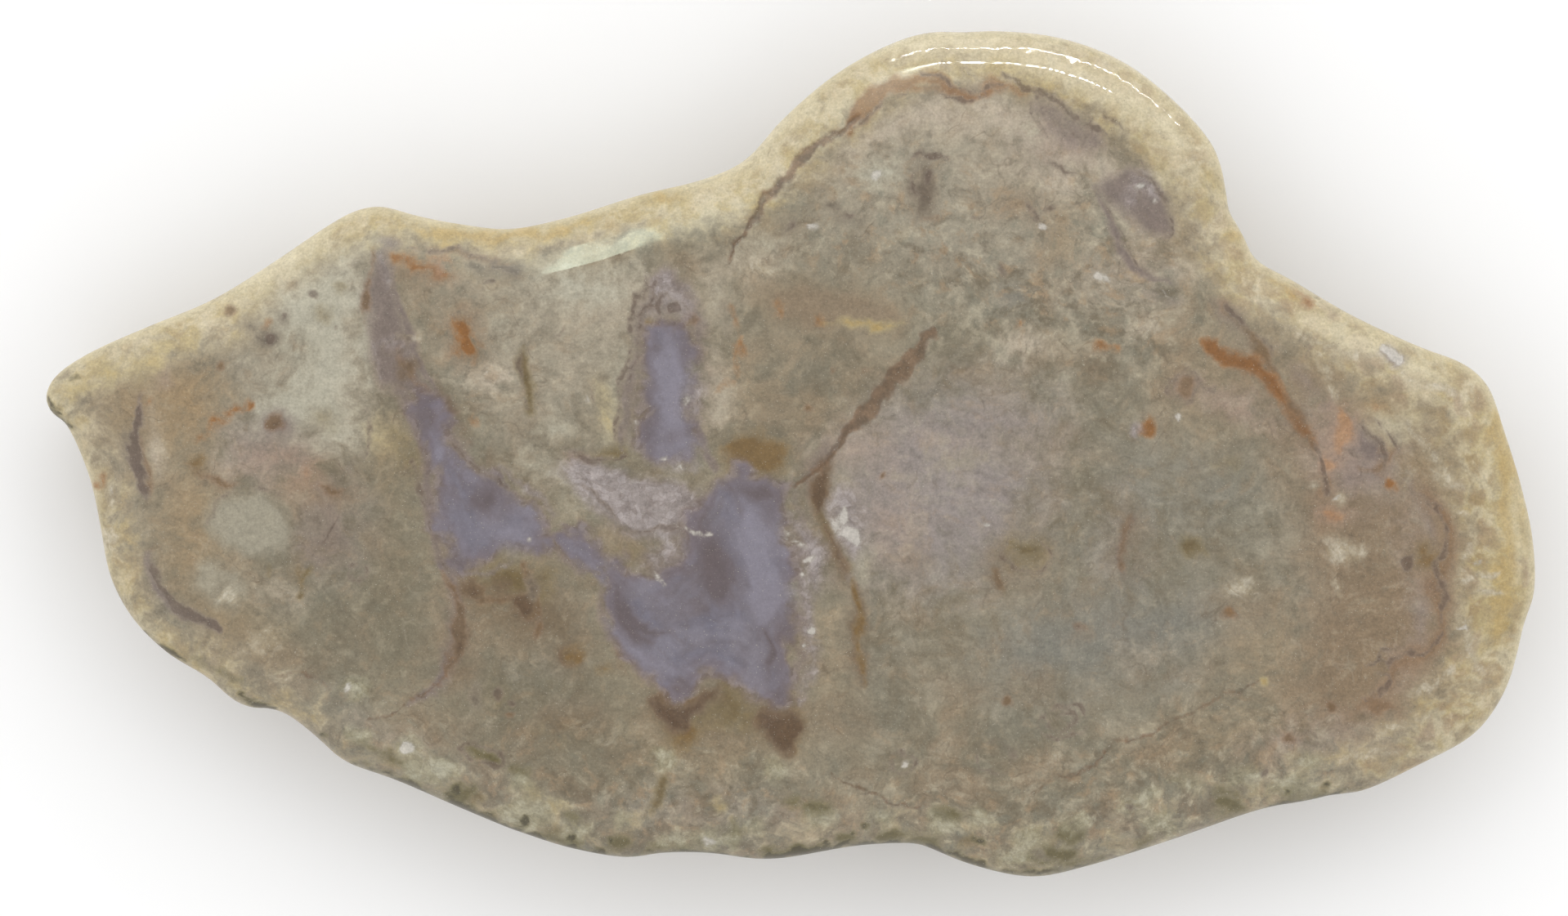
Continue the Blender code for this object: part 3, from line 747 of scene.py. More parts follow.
MARKS["crust"] = dict(
    grains=((118, 104, 98), (180, 170, 168)),
    edge=(142, 130, 124), core=(153, 143, 139), fade=14, soft=0.45, ragged=1.0, strength=0.95,
    marks=(
        patch((686, 552), (716, 556), (752, 574), (800, 582), (846, 590), (864, 612), (850, 646),
            (812, 664), (764, 656), (728, 626), (696, 592)),
        streak((466, 318), (474, 352), width=12, strength=0.8),
        streak((458, 416), (462, 460), width=10, strength=0.6),
        patch((1018, 602), (1040, 598), (1056, 626), (1060, 664), (1046, 690), (1030, 676),
            (1020, 640)),
        patch((700, 560), (740, 572), (780, 580), (830, 586), (858, 606), (846, 640), (800, 656),
            (740, 646), (712, 606), strength=0.8),
        streak((968, 640), (984, 660), (1000, 690), (996, 722), width=26),
        patch((728, 602), (748, 584), (790, 584), (826, 590), (846, 606), (838, 632), (812, 648),
            (770, 650), (742, 634)),
        patch((690, 554), (716, 560), (744, 574), (752, 598), (734, 612), (706, 596)),
        streak((612, 572), (634, 590), (656, 606), (680, 634), width=14, strength=0.8),
        streak((966, 630), (982, 660), (976, 700), (990, 726), (984, 760), (994, 800), (990, 836),
            (978, 858), width=20, strength=0.75),
        patch((796, 330), (820, 326), (842, 344), (850, 372), (846, 388), (826, 396), (802, 388),
            (790, 364), strength=0.75),
        streak((850, 464), (860, 490), (850, 512), width=15, strength=0.8),
        patch((772, 520), (784, 514), (796, 548), (830, 562), (858, 566), (848, 584), (812, 578),
            (782, 560), strength=0.85),
        patch((994, 690), (1012, 688), (1020, 712), (1008, 734), (994, 720), strength=0.75),
        patch((1020, 634), (1040, 636), (1056, 650), (1058, 668), (1040, 682), (1024, 662),
            strength=0.9),
        patch((798, 664), (820, 656), (850, 664), (846, 700), (820, 724), (800, 716),
            strength=0.62), streak((548, 702), (600, 702), (630, 684), width=6, strength=0.6),
        streak((760, 560), (766, 500), (776, 440), width=6, strength=0.6),
        streak((520, 470), (530, 500), (544, 530), width=6, strength=0.5),
        *blobs((822, 634, 26, 18), (1706, 436, 18, 9, -12), (1390, 528, 6, 8),
            (1410, 232, 16, 7, -35)), blob(1392, 230, 15, 24, turn=-30, strength=0.8),
        blob(812, 690, 30, 22, strength=0.75),
        *blobs((846, 662, 20, 12), (650, 660, 14, 7), strength=0.7),
        *blobs((476, 416, 12, 8), (498, 430, 10, 10), strength=0.6),
    ),
)

# These kinds lie under the curds, and the others over them and over the rim.
UNDER_CURDS = ("pale_body", "olive_body", "blue_grey", "warm_body", "cream_wash", "lilac_wash",
               "ochre_wash", "umber_wash", "sienna_wash", "pinkish")

# Marks that lie in or over the agate.
OVER_MARKS = {}
OVER_MARKS["smudge"] = dict(
    edge=(140, 128, 110), core=(106, 94, 80), fade=16, ragged=1.6, strength=0.85,
    marks=(
        patch((1112, 200), (1124, 188), (1146, 190), (1142, 214), (1152, 236), (1136, 244),
            (1124, 236), (1114, 220)),
        *blobs((1128, 236, 17, 34), (1134, 214, 14, 20), (326, 412, 14, 12), (350, 388, 10),
            (600, 330, 26, 8, -16), (630, 334, 16, 8)),
        *blobs((1130, 252, 9, 16), (1041, 264, 20, 12, -20), (966, 272, 12, 12), (160, 540, 10, 34),
            strength=0.8),
        *blobs((1024, 254, 12, 8), (306, 398, 10, 8), (1320, 776, 18, 9), (228, 752, 30, 10, -34),
            (1516, 400, 16, 26, 34), (655, 716, 10, 14), strength=0.7),
        *blobs((1268, 258, 14, 18), (1700, 522, 20, 16), (860, 590, 24, 10), (588, 856, 10, 14),
            (640, 866, 10, 8), strength=0.6),
        *blobs((884, 396, 10, 30), (1060, 486, 24, 18, 40), (380, 640, 20, 16), (840, 870, 30, 12),
            (1216, 300, 12, 10), (1180, 292, 10, 7), (1256, 316, 10, 8), (1090, 260, 9, 12),
            (1004, 236, 10, 8), strength=0.5), blob(1150, 320, 12, 8, strength=0.45),
        blob(1240, 362, 24, 12, strength=0.4),
    ),
)
OVER_MARKS["dark_tips"] = dict(
    edge=(113, 93, 75), core=(95, 74, 55), fade=12, fine=(0.2, 0.9), ragged=1.0, strength=0.85,
    marks=(
        patch((800, 846), (822, 862), (846, 858), (866, 846), (868, 868), (848, 880), (838, 898),
            (814, 892), (800, 872)),
        patch((928, 870), (950, 880), (968, 868), (986, 884), (976, 908), (958, 924), (942, 904)),
        streak((524, 452), (540, 478), (558, 512), (574, 538), width=12, strength=0.7),
    ),
)
OVER_MARKS["agate_light"] = dict(
    edge=(126, 120, 129), core=(138, 133, 144), fade=18, ragged=0.8, strength=0.85,
    marks=(
        patch((900, 600), (930, 600), (950, 640), (960, 700), (956, 760), (936, 780), (912, 744),
            (900, 690), (890, 640)),
        streak((700, 668), (726, 690), (744, 720), width=16, strength=0.8),
        streak((744, 760), (770, 796), (812, 826), (850, 814), (872, 800), width=18, strength=0.8),
        streak((930, 820), (950, 850), (962, 820), width=14, strength=0.7),
        streak((530, 520), (552, 556), (580, 590), width=12, strength=0.6),
        *blobs((822, 486, 26, 80), (824, 546, 28, 20), (936, 730, 30, 34), (604, 632, 24, 26),
            (628, 656, 26, 16), (826, 500, 13, 40), (826, 545, 18, 18), (604, 626, 20, 24),
            (624, 652, 22, 14), (932, 736, 22, 26), (540, 556, 8, 16), (932, 738, 24, 18)),
        blob(931, 676, 22, 24, strength=0.8),
        *blobs((820, 742, 34, 16), (560, 640, 16, 40, 10), (634, 640, 20, 12), strength=0.7),
        *blobs((740, 690, 20, 10), (800, 430, 8, 24), strength=0.6),
        blob(826, 470, 12, 30, strength=0.5), blob(850, 720, 24, 20, strength=0.4),
    ),
)
OVER_MARKS["agate_warm"] = dict(
    edge=(112, 102, 106), core=(101, 89, 90), fade=18, ragged=0.9, strength=0.9,
    marks=(
        streak((752, 712), (758, 744), (776, 774), (800, 786), width=22),
        streak((700, 690), (722, 700), (742, 706), width=9, strength=0.7),
        patch((846, 664), (880, 650), (900, 680), (904, 730), (886, 750), (860, 736), (848, 700)),
        streak((750, 716), (764, 748), (786, 770), (820, 776), width=16),
        streak((934, 770), (946, 796), (940, 820), width=14),
        streak((880, 590), (900, 600), (904, 630), width=12, strength=0.6),
        streak((510, 500), (524, 530), width=10, strength=0.6),
        *blobs((926, 602, 24, 12), (872, 700, 18, 34), (600, 614, 22, 24)),
        blob(944, 824, 14, 20, strength=0.8),
        *blobs((940, 628, 14, 20), (822, 702, 16, 12), (838, 430, 7, 26), (560, 690, 22, 8),
            strength=0.7), blob(820, 540, 12, 14, strength=0.6),
        blob(868, 790, 20, 10, strength=0.4),
    ),
)
OVER_MARKS["band"] = dict(
    edge=(148, 112, 78), core=(134, 92, 52), fade=9, fine=(0.18, 0.84), ragged=0.8, strength=0.8,
    marks=(
        streak((1044, 150), (1060, 134), (1084, 111), (1104, 100), (1120, 94), width=20, ends=0.6),
        streak((1120, 92), (1140, 101), (1162, 111), (1188, 118), (1210, 114), width=12, ends=0.7),
        streak((1212, 104), (1232, 105), (1256, 112), width=7, ends=0.6),
        # under the lobe's crest
        streak((1038, 162), (1044, 138), (1056, 124), (1071, 114), (1090, 107), (1106, 102),
            width=19, ends=0.6),
        streak((1046, 150), (1060, 138), (1074, 126), width=14, strength=0.8),
        streak((1104, 104), (1118, 94), (1136, 91), (1152, 97), (1166, 108), (1184, 117),
            (1206, 117), (1226, 110), width=12, ends=0.7),
        streak((1104, 104), (1126, 111), (1150, 112), (1170, 116), width=9, ends=0.6),
        streak((1196, 104), (1218, 101), (1236, 106), width=6, strength=0.6),
        # round the broad end's stain
        streak((1482, 424), (1500, 436), (1524, 444), (1544, 456), (1560, 476), (1566, 492),
            width=25, ends=0.4),
        streak((1560, 486), (1574, 506), (1592, 526), (1612, 540), width=14, strength=0.65),
    ),
)
OVER_MARKS["line"] = dict(
    edge=(130, 116, 102), core=(104, 88, 76), fade=9, fine=(0.34, 0.62), ragged=0.6, strength=0.75,
    marks=(
        streak((1268, 118), (1282, 127), (1277, 141), (1292, 150), width=4),
        streak((1290, 117), (1300, 131), (1316, 137), (1312, 152), width=4),
        streak((1318, 133), (1334, 141), (1330, 155), (1349, 164), width=4.5),
        streak((1296, 152), (1312, 160), (1322, 173), width=4),
        streak((1338, 124), (1350, 138), (1364, 150), (1382, 160), width=4),
        streak((1352, 166), (1366, 176), (1362, 190), (1376, 196), width=4),
        streak((1384, 226), (1396, 240), (1392, 256), (1408, 268), width=4),
        streak((1740, 606), (1760, 630), (1771, 655), (1768, 676), (1753, 690), (1757, 712),
            (1768, 730), (1766, 760), (1756, 782), (1736, 800), (1714, 807), width=6),
        streak((1712, 807), (1694, 816), (1701, 830), (1686, 847), (1666, 851), width=5),
        streak((1704, 796), (1690, 790), (1683, 806), (1668, 812), width=4),
        streak((1664, 526), (1682, 538), (1695, 556), (1690, 576), width=6),
        streak((1610, 540), (1618, 560), (1613, 584), (1622, 606), width=5),
        streak((1648, 548), (1662, 560), (1674, 578), width=4),
        streak((1046, 158), (1066, 138), (1090, 118), (1112, 110), width=4),
        streak((1122, 88), (1142, 92), (1166, 104), (1190, 112), (1226, 104), width=4),
        streak((1126, 108), (1150, 118), (1180, 122), (1206, 120), width=4),
        # the left end's two crescents
        streak((174, 484), (164, 520), (163, 548), (170, 584), (182, 612), width=13, ends=0.15),
        streak((186, 690), (200, 728), (226, 752), (252, 764), (270, 768), width=14, ends=0.2),
        blob(1722, 690, 8, 11),
        # round the upright pocket and its cap
        streak((790, 338), (778, 372), (770, 420), (758, 476), (754, 540), width=4),
        streak((800, 344), (788, 376), (782, 420), (770, 470), (764, 530), width=3),
        streak((812, 356), (798, 372), (804, 386), width=4),
        streak((846, 440), (862, 420), (864, 396), width=3, strength=0.8), blob(822, 378, 9, 7),
        # the saddle's dark seam
        streak((500, 304), (526, 306), (560, 305), (586, 312), (610, 322), width=4),
        streak((600, 322), (620, 330), (636, 336), width=7), blob(600, 344, 8, 3),
        # the lobe's mauve patches
        streak((1225, 92), (1252, 102), (1273, 112), (1295, 126), (1311, 135), (1327, 150),
            (1351, 161), width=5),
        streak((1263, 121), (1260, 134), (1266, 148), (1281, 170), width=3.5),
        streak((1276, 130), (1292, 144), (1304, 160), (1300, 176), width=3),
        streak((1310, 140), (1322, 156), (1334, 170), width=3.5),
        streak((1359, 196), (1384, 206), (1412, 224), (1433, 249), (1437, 281), (1417, 296),
            (1396, 282), width=3.5), streak((1380, 190), (1396, 198), (1404, 210), width=4),
        streak((1284, 196), (1300, 206), (1324, 214), width=3),
        streak((1345, 232), (1360, 268), (1384, 312), (1410, 338), width=3.5),
        # the lobe's grey smudge
        streak((1110, 194), (1130, 188), (1158, 196), width=7),
        streak((1120, 206), (1114, 222), (1122, 238), width=5),
        streak((1256, 248), (1266, 260), (1276, 268), width=4),
        streak((1276, 262), (1290, 252), width=3), blob(1134, 214, 6, 9),
        *blobs((1041, 262, 7, 4), (966, 271, 5, 5), strength=0.8),
        blob(1196, 266, 7, 4, strength=0.7), blob(1228, 330, 5, 7, strength=0.6),
        # the left cloud's specks
        streak((170, 505), (163, 530), (163, 556), (174, 596), width=7),
        streak((188, 704), (200, 738), (222, 758), (262, 768), width=6),
        streak((256, 640), (270, 604), (312, 592), (346, 606), width=3, strength=0.7),
        ring(434, 699, 11, 9, width=3.5), streak((420, 624), (396, 660), (380, 690), width=4),
        streak((446, 490), (456, 540), (440, 566), width=4, strength=0.6),
        *blobs((326, 412, 5, 6), (350, 386, 4)), *blobs((380, 360, 5), (410, 400, 4), strength=0.8),
        blob(440, 384, 4, strength=0.7),
        # round the pockets
        streak((500, 560), (520, 610), (530, 660), (552, 704), width=5, strength=0.7),
        streak((554, 540), (580, 572), (610, 594), (646, 614), (668, 640), width=5, strength=0.7),
        streak((678, 662), (700, 694), (734, 704), width=4, strength=0.6),
        streak((685, 552), (706, 556), (720, 564), (748, 566), (770, 558), width=6),
        streak((712, 588), (736, 612), (758, 640), width=4, strength=0.6),
        streak((766, 648), (800, 652), (840, 640), width=5, strength=0.7),
        ring(485, 424, 14, 11, width=3, strength=0.8),
        streak((645, 424), (634, 444), (640, 468), (644, 500), width=3, strength=0.8),
        streak((721, 470), (720, 500), width=3, strength=0.7),
        streak((664, 420), (690, 400), width=3, strength=0.5),
        # the middle and lower middle
        streak((1046, 512), (1030, 532), (1012, 552), width=5),
        ring(1103, 932, 16, 11, width=4, strength=0.7),
        ring(1218, 930, 22, 20, width=3, strength=0.6),
        ring(1300, 884, 30, 20, turn=20, width=3, strength=0.5),
        ring(1300, 884, 16, 10, turn=20, width=3, strength=0.5),
        ring(1470, 1008, 14, 8, width=3, strength=0.7),
        ring(592, 923, 28, 10, turn=-15, width=4, strength=0.8),
        ring(1256, 678, 30, 20, width=3, strength=0.5),
        *blobs((1040, 480, 4, 3), (608, 846, 7, 9), (626, 857, 6, 5), (1547, 944, 5),
            (1382, 984, 5), (1315, 768, 6, 4)),
        # the broad end
        streak((1498, 374), (1512, 388), (1530, 404), width=5),
        streak((1532, 410), (1552, 420), (1560, 440), width=4, strength=0.7),
        ring(1447, 474, 18, 20, width=4, strength=0.7),
        streak((1460, 470), (1480, 480), (1490, 470), width=3),
        streak((1668, 520), (1684, 512), (1700, 530), (1712, 552), width=4),
        streak((1726, 604), (1748, 606), (1764, 622), width=4, strength=0.8),
        streak((1716, 694), (1726, 688), (1732, 680), width=7),
        streak((1686, 808), (1700, 812), (1696, 826), (1682, 824), width=4),
        streak((1668, 860), (1690, 852), (1700, 836), width=4, strength=0.8),
        streak((1590, 408), (1600, 424), (1596, 440), width=4, strength=0.6),
        streak((1760, 700), (1768, 740), (1760, 770), width=4, strength=0.6),
    ),
)
# A dark line along the lower edges: partly the natural rind, partly painted shade where those edges
# turn away from the light.
OVER_MARKS["rind"] = dict(
    edge=(110, 102, 68), core=(72, 64, 38), fade=7, fine=(0.24, 0.7), ragged=1.0, strength=0.9,
    marks=(
        streak((548, 974), (570, 990), (600, 1004), (640, 1018), width=13, strength=0.9),
        streak((640, 1018), (680, 1034), (720, 1042), (760, 1050), width=9, strength=0.8),
        streak((760, 1050), (800, 1044), (860, 1044), (930, 1050), width=7, strength=0.75),
        streak((930, 1050), (990, 1044), (1040, 1034), (1090, 1031), width=11, strength=0.85),
        streak((1090, 1031), (1140, 1034), (1180, 1052), (1220, 1066), width=8, strength=0.75),
        streak((1220, 1066), (1270, 1070), (1330, 1060), (1400, 1040), width=8, strength=0.75),
        streak((1470, 1016), (1560, 988), (1640, 972), (1700, 954), width=7, strength=0.7),
        streak((290, 850), (310, 864), (334, 866), width=9),
        streak((180, 774), (200, 790), (230, 812), width=5, strength=0.8),
        streak((430, 930), (480, 948), (540, 976), width=7, strength=0.8),
        streak((60, 492), (72, 512), (90, 520), width=6, strength=0.7),
        *blobs((392, 901, 7, 5), (72, 502, 4), (88, 460, 4), (560, 968, 5), (640, 1004, 5),
            (1044, 1020, 6, 4), (1060, 1012, 4), (744, 1030, 4), (700, 1024, 4),
            (1198, 1032, 10, 4), (1620, 960, 6, 3), (1580, 972, 5, 3), (1010, 1030, 5, 3)),
    ),
)
OVER_MARKS["white"] = dict(
    edge=(176, 169, 158), core=(202, 196, 186), fade=7, fine=(0.36, 0.72), ragged=1.2, strength=0.8,
    marks=(
        streak((800, 690), (806, 704), (816, 716), width=4, strength=0.8),
        streak((846, 648), (862, 655), (874, 653), width=3),
        streak((836, 640), (852, 652), width=3),
        streak((714, 470), (712, 492), width=3, strength=0.8),
        streak((1688, 428), (1704, 436), (1722, 446), width=7),
        *blobs((1036, 634, 7, 12), (1044, 656, 10, 10), (1704, 433, 16, 7, -14), (974, 664, 6, 4),
            (990, 684, 6, 5), (136, 604, 5, 7), (423, 842, 6, 8), (992, 279, 9, 5, -20),
            (1279, 279, 8, 6), (1442, 512, 4, 6), (1793, 771, 9, 6), (1103, 931, 6),
            (780, 520, 6, 4), (845, 492, 5, 7), (1393, 228, 7, 4), (1412, 244, 4, 3),
            (816, 560, 7, 5), (838, 574, 6, 4), (966, 656, 4, 3), (984, 700, 4), (980, 790, 4),
            (992, 770, 4), (1426, 362, 8, 4, -20), (1206, 640, 4, 2), (1630, 612, 5, 3),
            (1812, 690, 4, 3)),
        *blobs((1346, 343, 9, 5), (770, 586, 6, 4), (646, 662, 5, 3), (870, 1028, 8, 5),
            (498, 915, 8, 6), strength=0.8),
        *blobs((1028, 648, 8, 10), (1468, 1008, 6, 4), (1075, 214, 10, 6), strength=0.7),
    ),
)

# Places round the edge: x, y, the pale rim's width, how pale it is, and how marked its cells are.
# The paleness is high along the upper edges and low along the lower ones: painted light and painted
# shade over the rim's own cream.
RIM_PLACES = (
    (60, 480, 40, 0.7, 0.3), (110, 440, 38, 0.75, 0.2), (180, 405, 36, 0.8, 0.1),
    (250, 372, 42, 0.95, 0.1), (350, 312, 46, 1.0, 0.05), (420, 268, 42, 1.0, 0.05),
    (470, 255, 34, 1.0, 0.1), (540, 268, 28, 0.95, 0.2), (600, 280, 26, 0.95, 0.2),
    (680, 270, 32, 0.9, 0.1), (760, 248, 42, 0.9, 0.1), (850, 226, 62, 0.95, 0.15),
    (920, 190, 62, 0.9, 0.2), (980, 130, 62, 0.9, 0.35), (1060, 68, 60, 0.95, 0.3),
    (1140, 40, 50, 1.0, 0.2), (1240, 38, 60, 1.0, 0.25), (1330, 62, 76, 1.0, 0.35),
    (1410, 110, 80, 0.95, 0.5), (1470, 170, 80, 0.92, 0.5), (1498, 250, 40, 0.75, 0.5),
    (1530, 320, 52, 0.85, 0.6), (1600, 366, 56, 0.75, 0.9), (1700, 408, 62, 0.8, 1.0),
    (1800, 452, 66, 0.85, 0.9), (1840, 540, 76, 0.8, 0.9), (1868, 640, 80, 0.8, 1.0),
    (1876, 720, 90, 0.8, 1.0), (1860, 800, 84, 0.75, 1.0), (1800, 884, 66, 0.7, 0.9),
    (1700, 950, 52, 0.5, 0.8), (1600, 980, 44, 0.4, 0.7), (1480, 1015, 40, 0.35, 0.7),
    (1380, 1050, 44, 0.35, 0.7), (1260, 1072, 54, 0.38, 0.7), (1150, 1036, 36, 0.3, 0.7),
    (1050, 1030, 36, 0.26, 0.7), (930, 1048, 42, 0.24, 0.8), (800, 1044, 46, 0.26, 0.8),
    (700, 1036, 42, 0.28, 0.8), (600, 1000, 36, 0.3, 0.8), (500, 954, 34, 0.36, 0.8),
    (400, 906, 30, 0.36, 0.6), (320, 864, 30, 0.45, 0.5), (240, 814, 28, 0.55, 0.4),
    (180, 764, 28, 0.65, 0.3), (138, 680, 28, 0.7, 0.3), (118, 600, 28, 0.7, 0.4),
    (86, 530, 32, 0.65, 0.3),
)

# How far the rim's edge fades, and how far from a place its values start to blend with the others'.
RIM_FADE = 30
RIM_BLEND = 20.0

# How far the buff band under the rim reaches beyond it, and how far that fades.
BAND_REACH = 22
BAND_FADE = 40

# Where the stone is granular rather than smooth.
CURDLED_MARKS = (
    patch((960, 250), (1060, 170), (1200, 230), (1330, 200), (1440, 300), (1480, 400), (1400, 440),
        (1240, 420), (1100, 350), (980, 330)),
    patch((300, 380), (360, 330), (420, 360), (400, 440), (330, 450), strength=0.7),
    patch((420, 880), (520, 900), (700, 940), (900, 920), (1100, 960), (1300, 940), (1500, 880),
        (1620, 900), (1700, 960), (1400, 1060), (1200, 1080), (1000, 1050), (700, 1060), (500, 980),
        strength=0.9), patch((500, 380), (620, 380), (640, 470), (560, 500), strength=0.6),
)

# Where the edge is polished as bright as a mirror, and where it is only smooth.
MIRROR_MARKS = (
    patch((1080, 30), (1140, 10), (1300, 20), (1420, 80), (1500, 170), (1440, 190), (1360, 140),
        (1300, 116), (1240, 100), (1180, 88), (1120, 84), (1086, 84)),
    patch((655, 346), (676, 322), (696, 302), (740, 290), (784, 283), (814, 286), (790, 300),
        (772, 318), (736, 330), (700, 342)),
)


# Geometry.


def spaced_evenly(ring, count):
    """The closed ring again, as count points at equal steps along it."""
    closed = np.vstack([ring, ring[:1]])
    steps = np.linalg.norm(np.diff(closed, axis=0), axis=1)
    along = np.concatenate([[0.0], np.cumsum(steps)])
    places = np.linspace(0.0, along[-1], count, endpoint=False)
    return np.column_stack([np.interp(places, along, closed[:, axis]) for axis in (0, 1)])


def without_facets(ring):
    """The closed ring with its shortest waves faded out."""
    perimeter = np.linalg.norm(np.roll(ring, -1, axis=0) - ring, axis=1).sum()
    waves = np.fft.fft(ring[:, 0] + 1j * ring[:, 1])
    count = np.abs(np.fft.fftfreq(len(ring), 1 / len(ring)))
    waves /= 1 + (count * FINEST_WAVE / perimeter) ** 8
    ring = np.fft.ifft(waves)
    return np.column_stack([ring.real, ring.imag])


def girth_outline():
    """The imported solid's own outline at its girth, clockwise seen from above."""
    solid = bmesh.new()
    solid.from_mesh(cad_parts[NODE].data)
    bmesh.ops.remove_doubles(solid, verts=solid.verts, dist=1e-6)
    everything = solid.verts[:] + solid.edges[:] + solid.faces[:]
    level = Vector((0.0, 0.0, GIRTH_HEIGHT * MM))
    cut = bmesh.ops.bisect_plane(solid, geom=everything, plane_co=level, plane_no=(0, 0, 1))
    edges = {item for item in cut["geom_cut"] if isinstance(item, bmesh.types.BMEdge)}
    edge = min(edges, key=lambda e: e.verts[0].co.x)
    vert = edge.verts[0]
    ring = []
    while edge is not None:
        ring.append((vert.co.x / MM, vert.co.y / MM))
        edges.discard(edge)
        vert = edge.other_vert(vert)
        edge = next((e for e in vert.link_edges if e in edges), None)
    solid.free()
    ring = np.array(ring)
    after = np.roll(ring, -1, axis=0)
    turning = (ring[:, 0] * after[:, 1] - after[:, 0] * ring[:, 1]).sum()
    ring = ring[::-1] if turning > 0 else ring
    return spaced_evenly(without_facets(spaced_evenly(ring, 4 * ROUND_POINTS)), ROUND_POINTS)


def inward(ring):
    """Unit normals of a clockwise ring, pointing to its inside."""
    along = np.roll(ring, -1, axis=0) - np.roll(ring, 1, axis=0)
    across = np.column_stack([along[:, 1], -along[:, 0]])
    return across / np.linalg.norm(across, axis=1, keepdims=True)


def nested(ring, distances):
    """The rings at these growing distances inside ring, moved in by small relaxed steps."""
    rings = []
    reached = 0.0
    for distance in distances:
        steps = math.ceil((distance - reached) / INSET_STEP - 1e-9)
        for _ in range(steps):
            ring = ring + inward(ring) * ((distance - reached) / steps)
            middle = (np.roll(ring, 1, axis=0) + np.roll(ring, -1, axis=0)) / 2
            ring = spaced_evenly(ring + (middle - ring) * INSET_RELAX, len(ring))
        reached = distance
        rings.append(ring)
    return rings


def noise_at(points, spacing):
    """Smooth noise from -1 to 1 at points, given in millimetres."""
    places = np.asarray(points) / spacing + np.array(NOISE_ORIGIN)
    return np.array([noise.noise(Vector(place)) for place in places])


def flat(points):
    """Plan points with a height of zero."""
    return np.column_stack([points, np.zeros(len(points))])


def crown_height(plan):
    x, y = plan[:, 0], plan[:, 1]
    half_length, half_width = HIGH.x / MM, HIGH.y / MM
    return CROWN - END_DROP * (x / half_length) ** 2 - SIDE_DROP * (y / half_width) ** 2


def girth_height(plan):
    return GIRTH_HEIGHT + GIRTH_SWELL * noise_at(flat(plan), GIRTH_SPACING)


def top_height(plan, depth):
    """Height of the polished surface at plan points that lie depth inside the outline."""
    share = np.clip(depth / SHOULDER_WIDTH, 0.0, 1.0)
    rise = np.sqrt(1 - (1 - share) ** 2)
    return girth_height(plan) * (1 - rise) + crown_height(plan) * rise


def lattice(pitch, ring):
    """Points of a triangular lattice that lie inside the ring."""
    low, high = ring.min(axis=0), ring.max(axis=0)
    after = np.roll(ring, -1, axis=0)
    points = []
    for row in range(int((high[1] - low[1]) / (pitch * ROW_HEIGHT)) + 1):
        y = low[1] + row * pitch * ROW_HEIGHT
        crossing = (ring[:, 1] > y) != (after[:, 1] > y)
        a, b = ring[crossing], after[crossing]
        walls = np.sort(a[:, 0] + (b[:, 0] - a[:, 0]) * (y - a[:, 1]) / (b[:, 1] - a[:, 1]))
        for left, right in zip(walls[0::2], walls[1::2]):
            start = math.ceil(left / pitch - row % 2 / 2) + row % 2 / 2
            xs = np.arange(start * pitch, right, pitch)
            points.append(np.column_stack([xs, np.full(len(xs), y)]))
    return np.vstack(points)


def tree_of(points):
    tree = kdtree.KDTree(len(points))
    for i, point in enumerate(points):
        tree.insert((point[0], point[1], 0.0), i)
    tree.balance()
    return tree


def nearest(points, tree):
    """Distance and index of the tree's point nearest to each of points."""
    found = [tree.find((x, y, 0.0)) for x, y in points]
    return np.array([f[2] for f in found]), np.array([f[1] for f in found])


def to_plan(pixels):
    """Photograph pixels as plan millimetres, at the girth's height."""
    return (np.asarray(pixels, float) - CENTRE_PIXEL) * (MM_PER_PIXEL, -MM_PER_PIXEL)


def to_pixels(points):
    """The pixels that points in millimetres are seen at by the camera."""
    nearer = CAMERA_DISTANCE / (CAMERA_DISTANCE - (points[:, 2] - GIRTH_HEIGHT))
    return CENTRE_PIXEL + points[:, :2] * nearer[:, None] / (MM_PER_PIXEL, -MM_PER_PIXEL)


def crack_points():
    """Rows of plan points along and beside each crack, so that its groove and colour are crisp."""
    rows = []
    for crack in CRACKS:
        line = to_plan(crack["line"])
        steps = np.linalg.norm(np.diff(line, axis=0), axis=1)
        along = np.concatenate([[0.0], np.cumsum(steps)])
        places = np.arange(0.0, along[-1], FACE_PITCH * 0.8)
        middle = np.column_stack([np.interp(places, along, line[:, axis]) for axis in (0, 1)])
        ahead = np.gradient(middle, axis=0)
        across = np.column_stack([-ahead[:, 1], ahead[:, 0]])
        across /= np.linalg.norm(across, axis=1, keepdims=True)
        rows += [middle + across * offset for offset in CRACK_ROWS]
    return np.vstack(rows)


def thinned(points, gap):
    """The points without those that lie closer than gap to an earlier one."""
    tree = tree_of(points)
    kept = []
    dropped = set()
    for i, (x, y) in enumerate(points):
        if i not in dropped:
            kept.append(i)
            dropped.update(j for _, j, _ in tree.find_range((x, y, 0.0), gap) if j > i)
    return points[kept]


def filled(rim, inner):
    """Triangles between the points of rim, a clockwise ring, and inner, points inside it."""
    points = [Vector(p) for p in np.vstack([rim, inner])]
    ring = list(range(len(rim)))[::-1]
    found, _, triangles = delaunay_2d_cdt(points, [], [ring], 1, 1e-7)[:3]
    assert len(found) == len(points)
    return np.array(triangles)


def banded(count, low, high):
    """Triangles between two rings of count points whose first indices are low and high."""
    i = np.arange(count)
    j = (i + 1) % count
    one = np.column_stack([low + j, low + i, high + i])
    other = np.column_stack([low + j, high + i, high + j])
    return np.vstack([one, other])


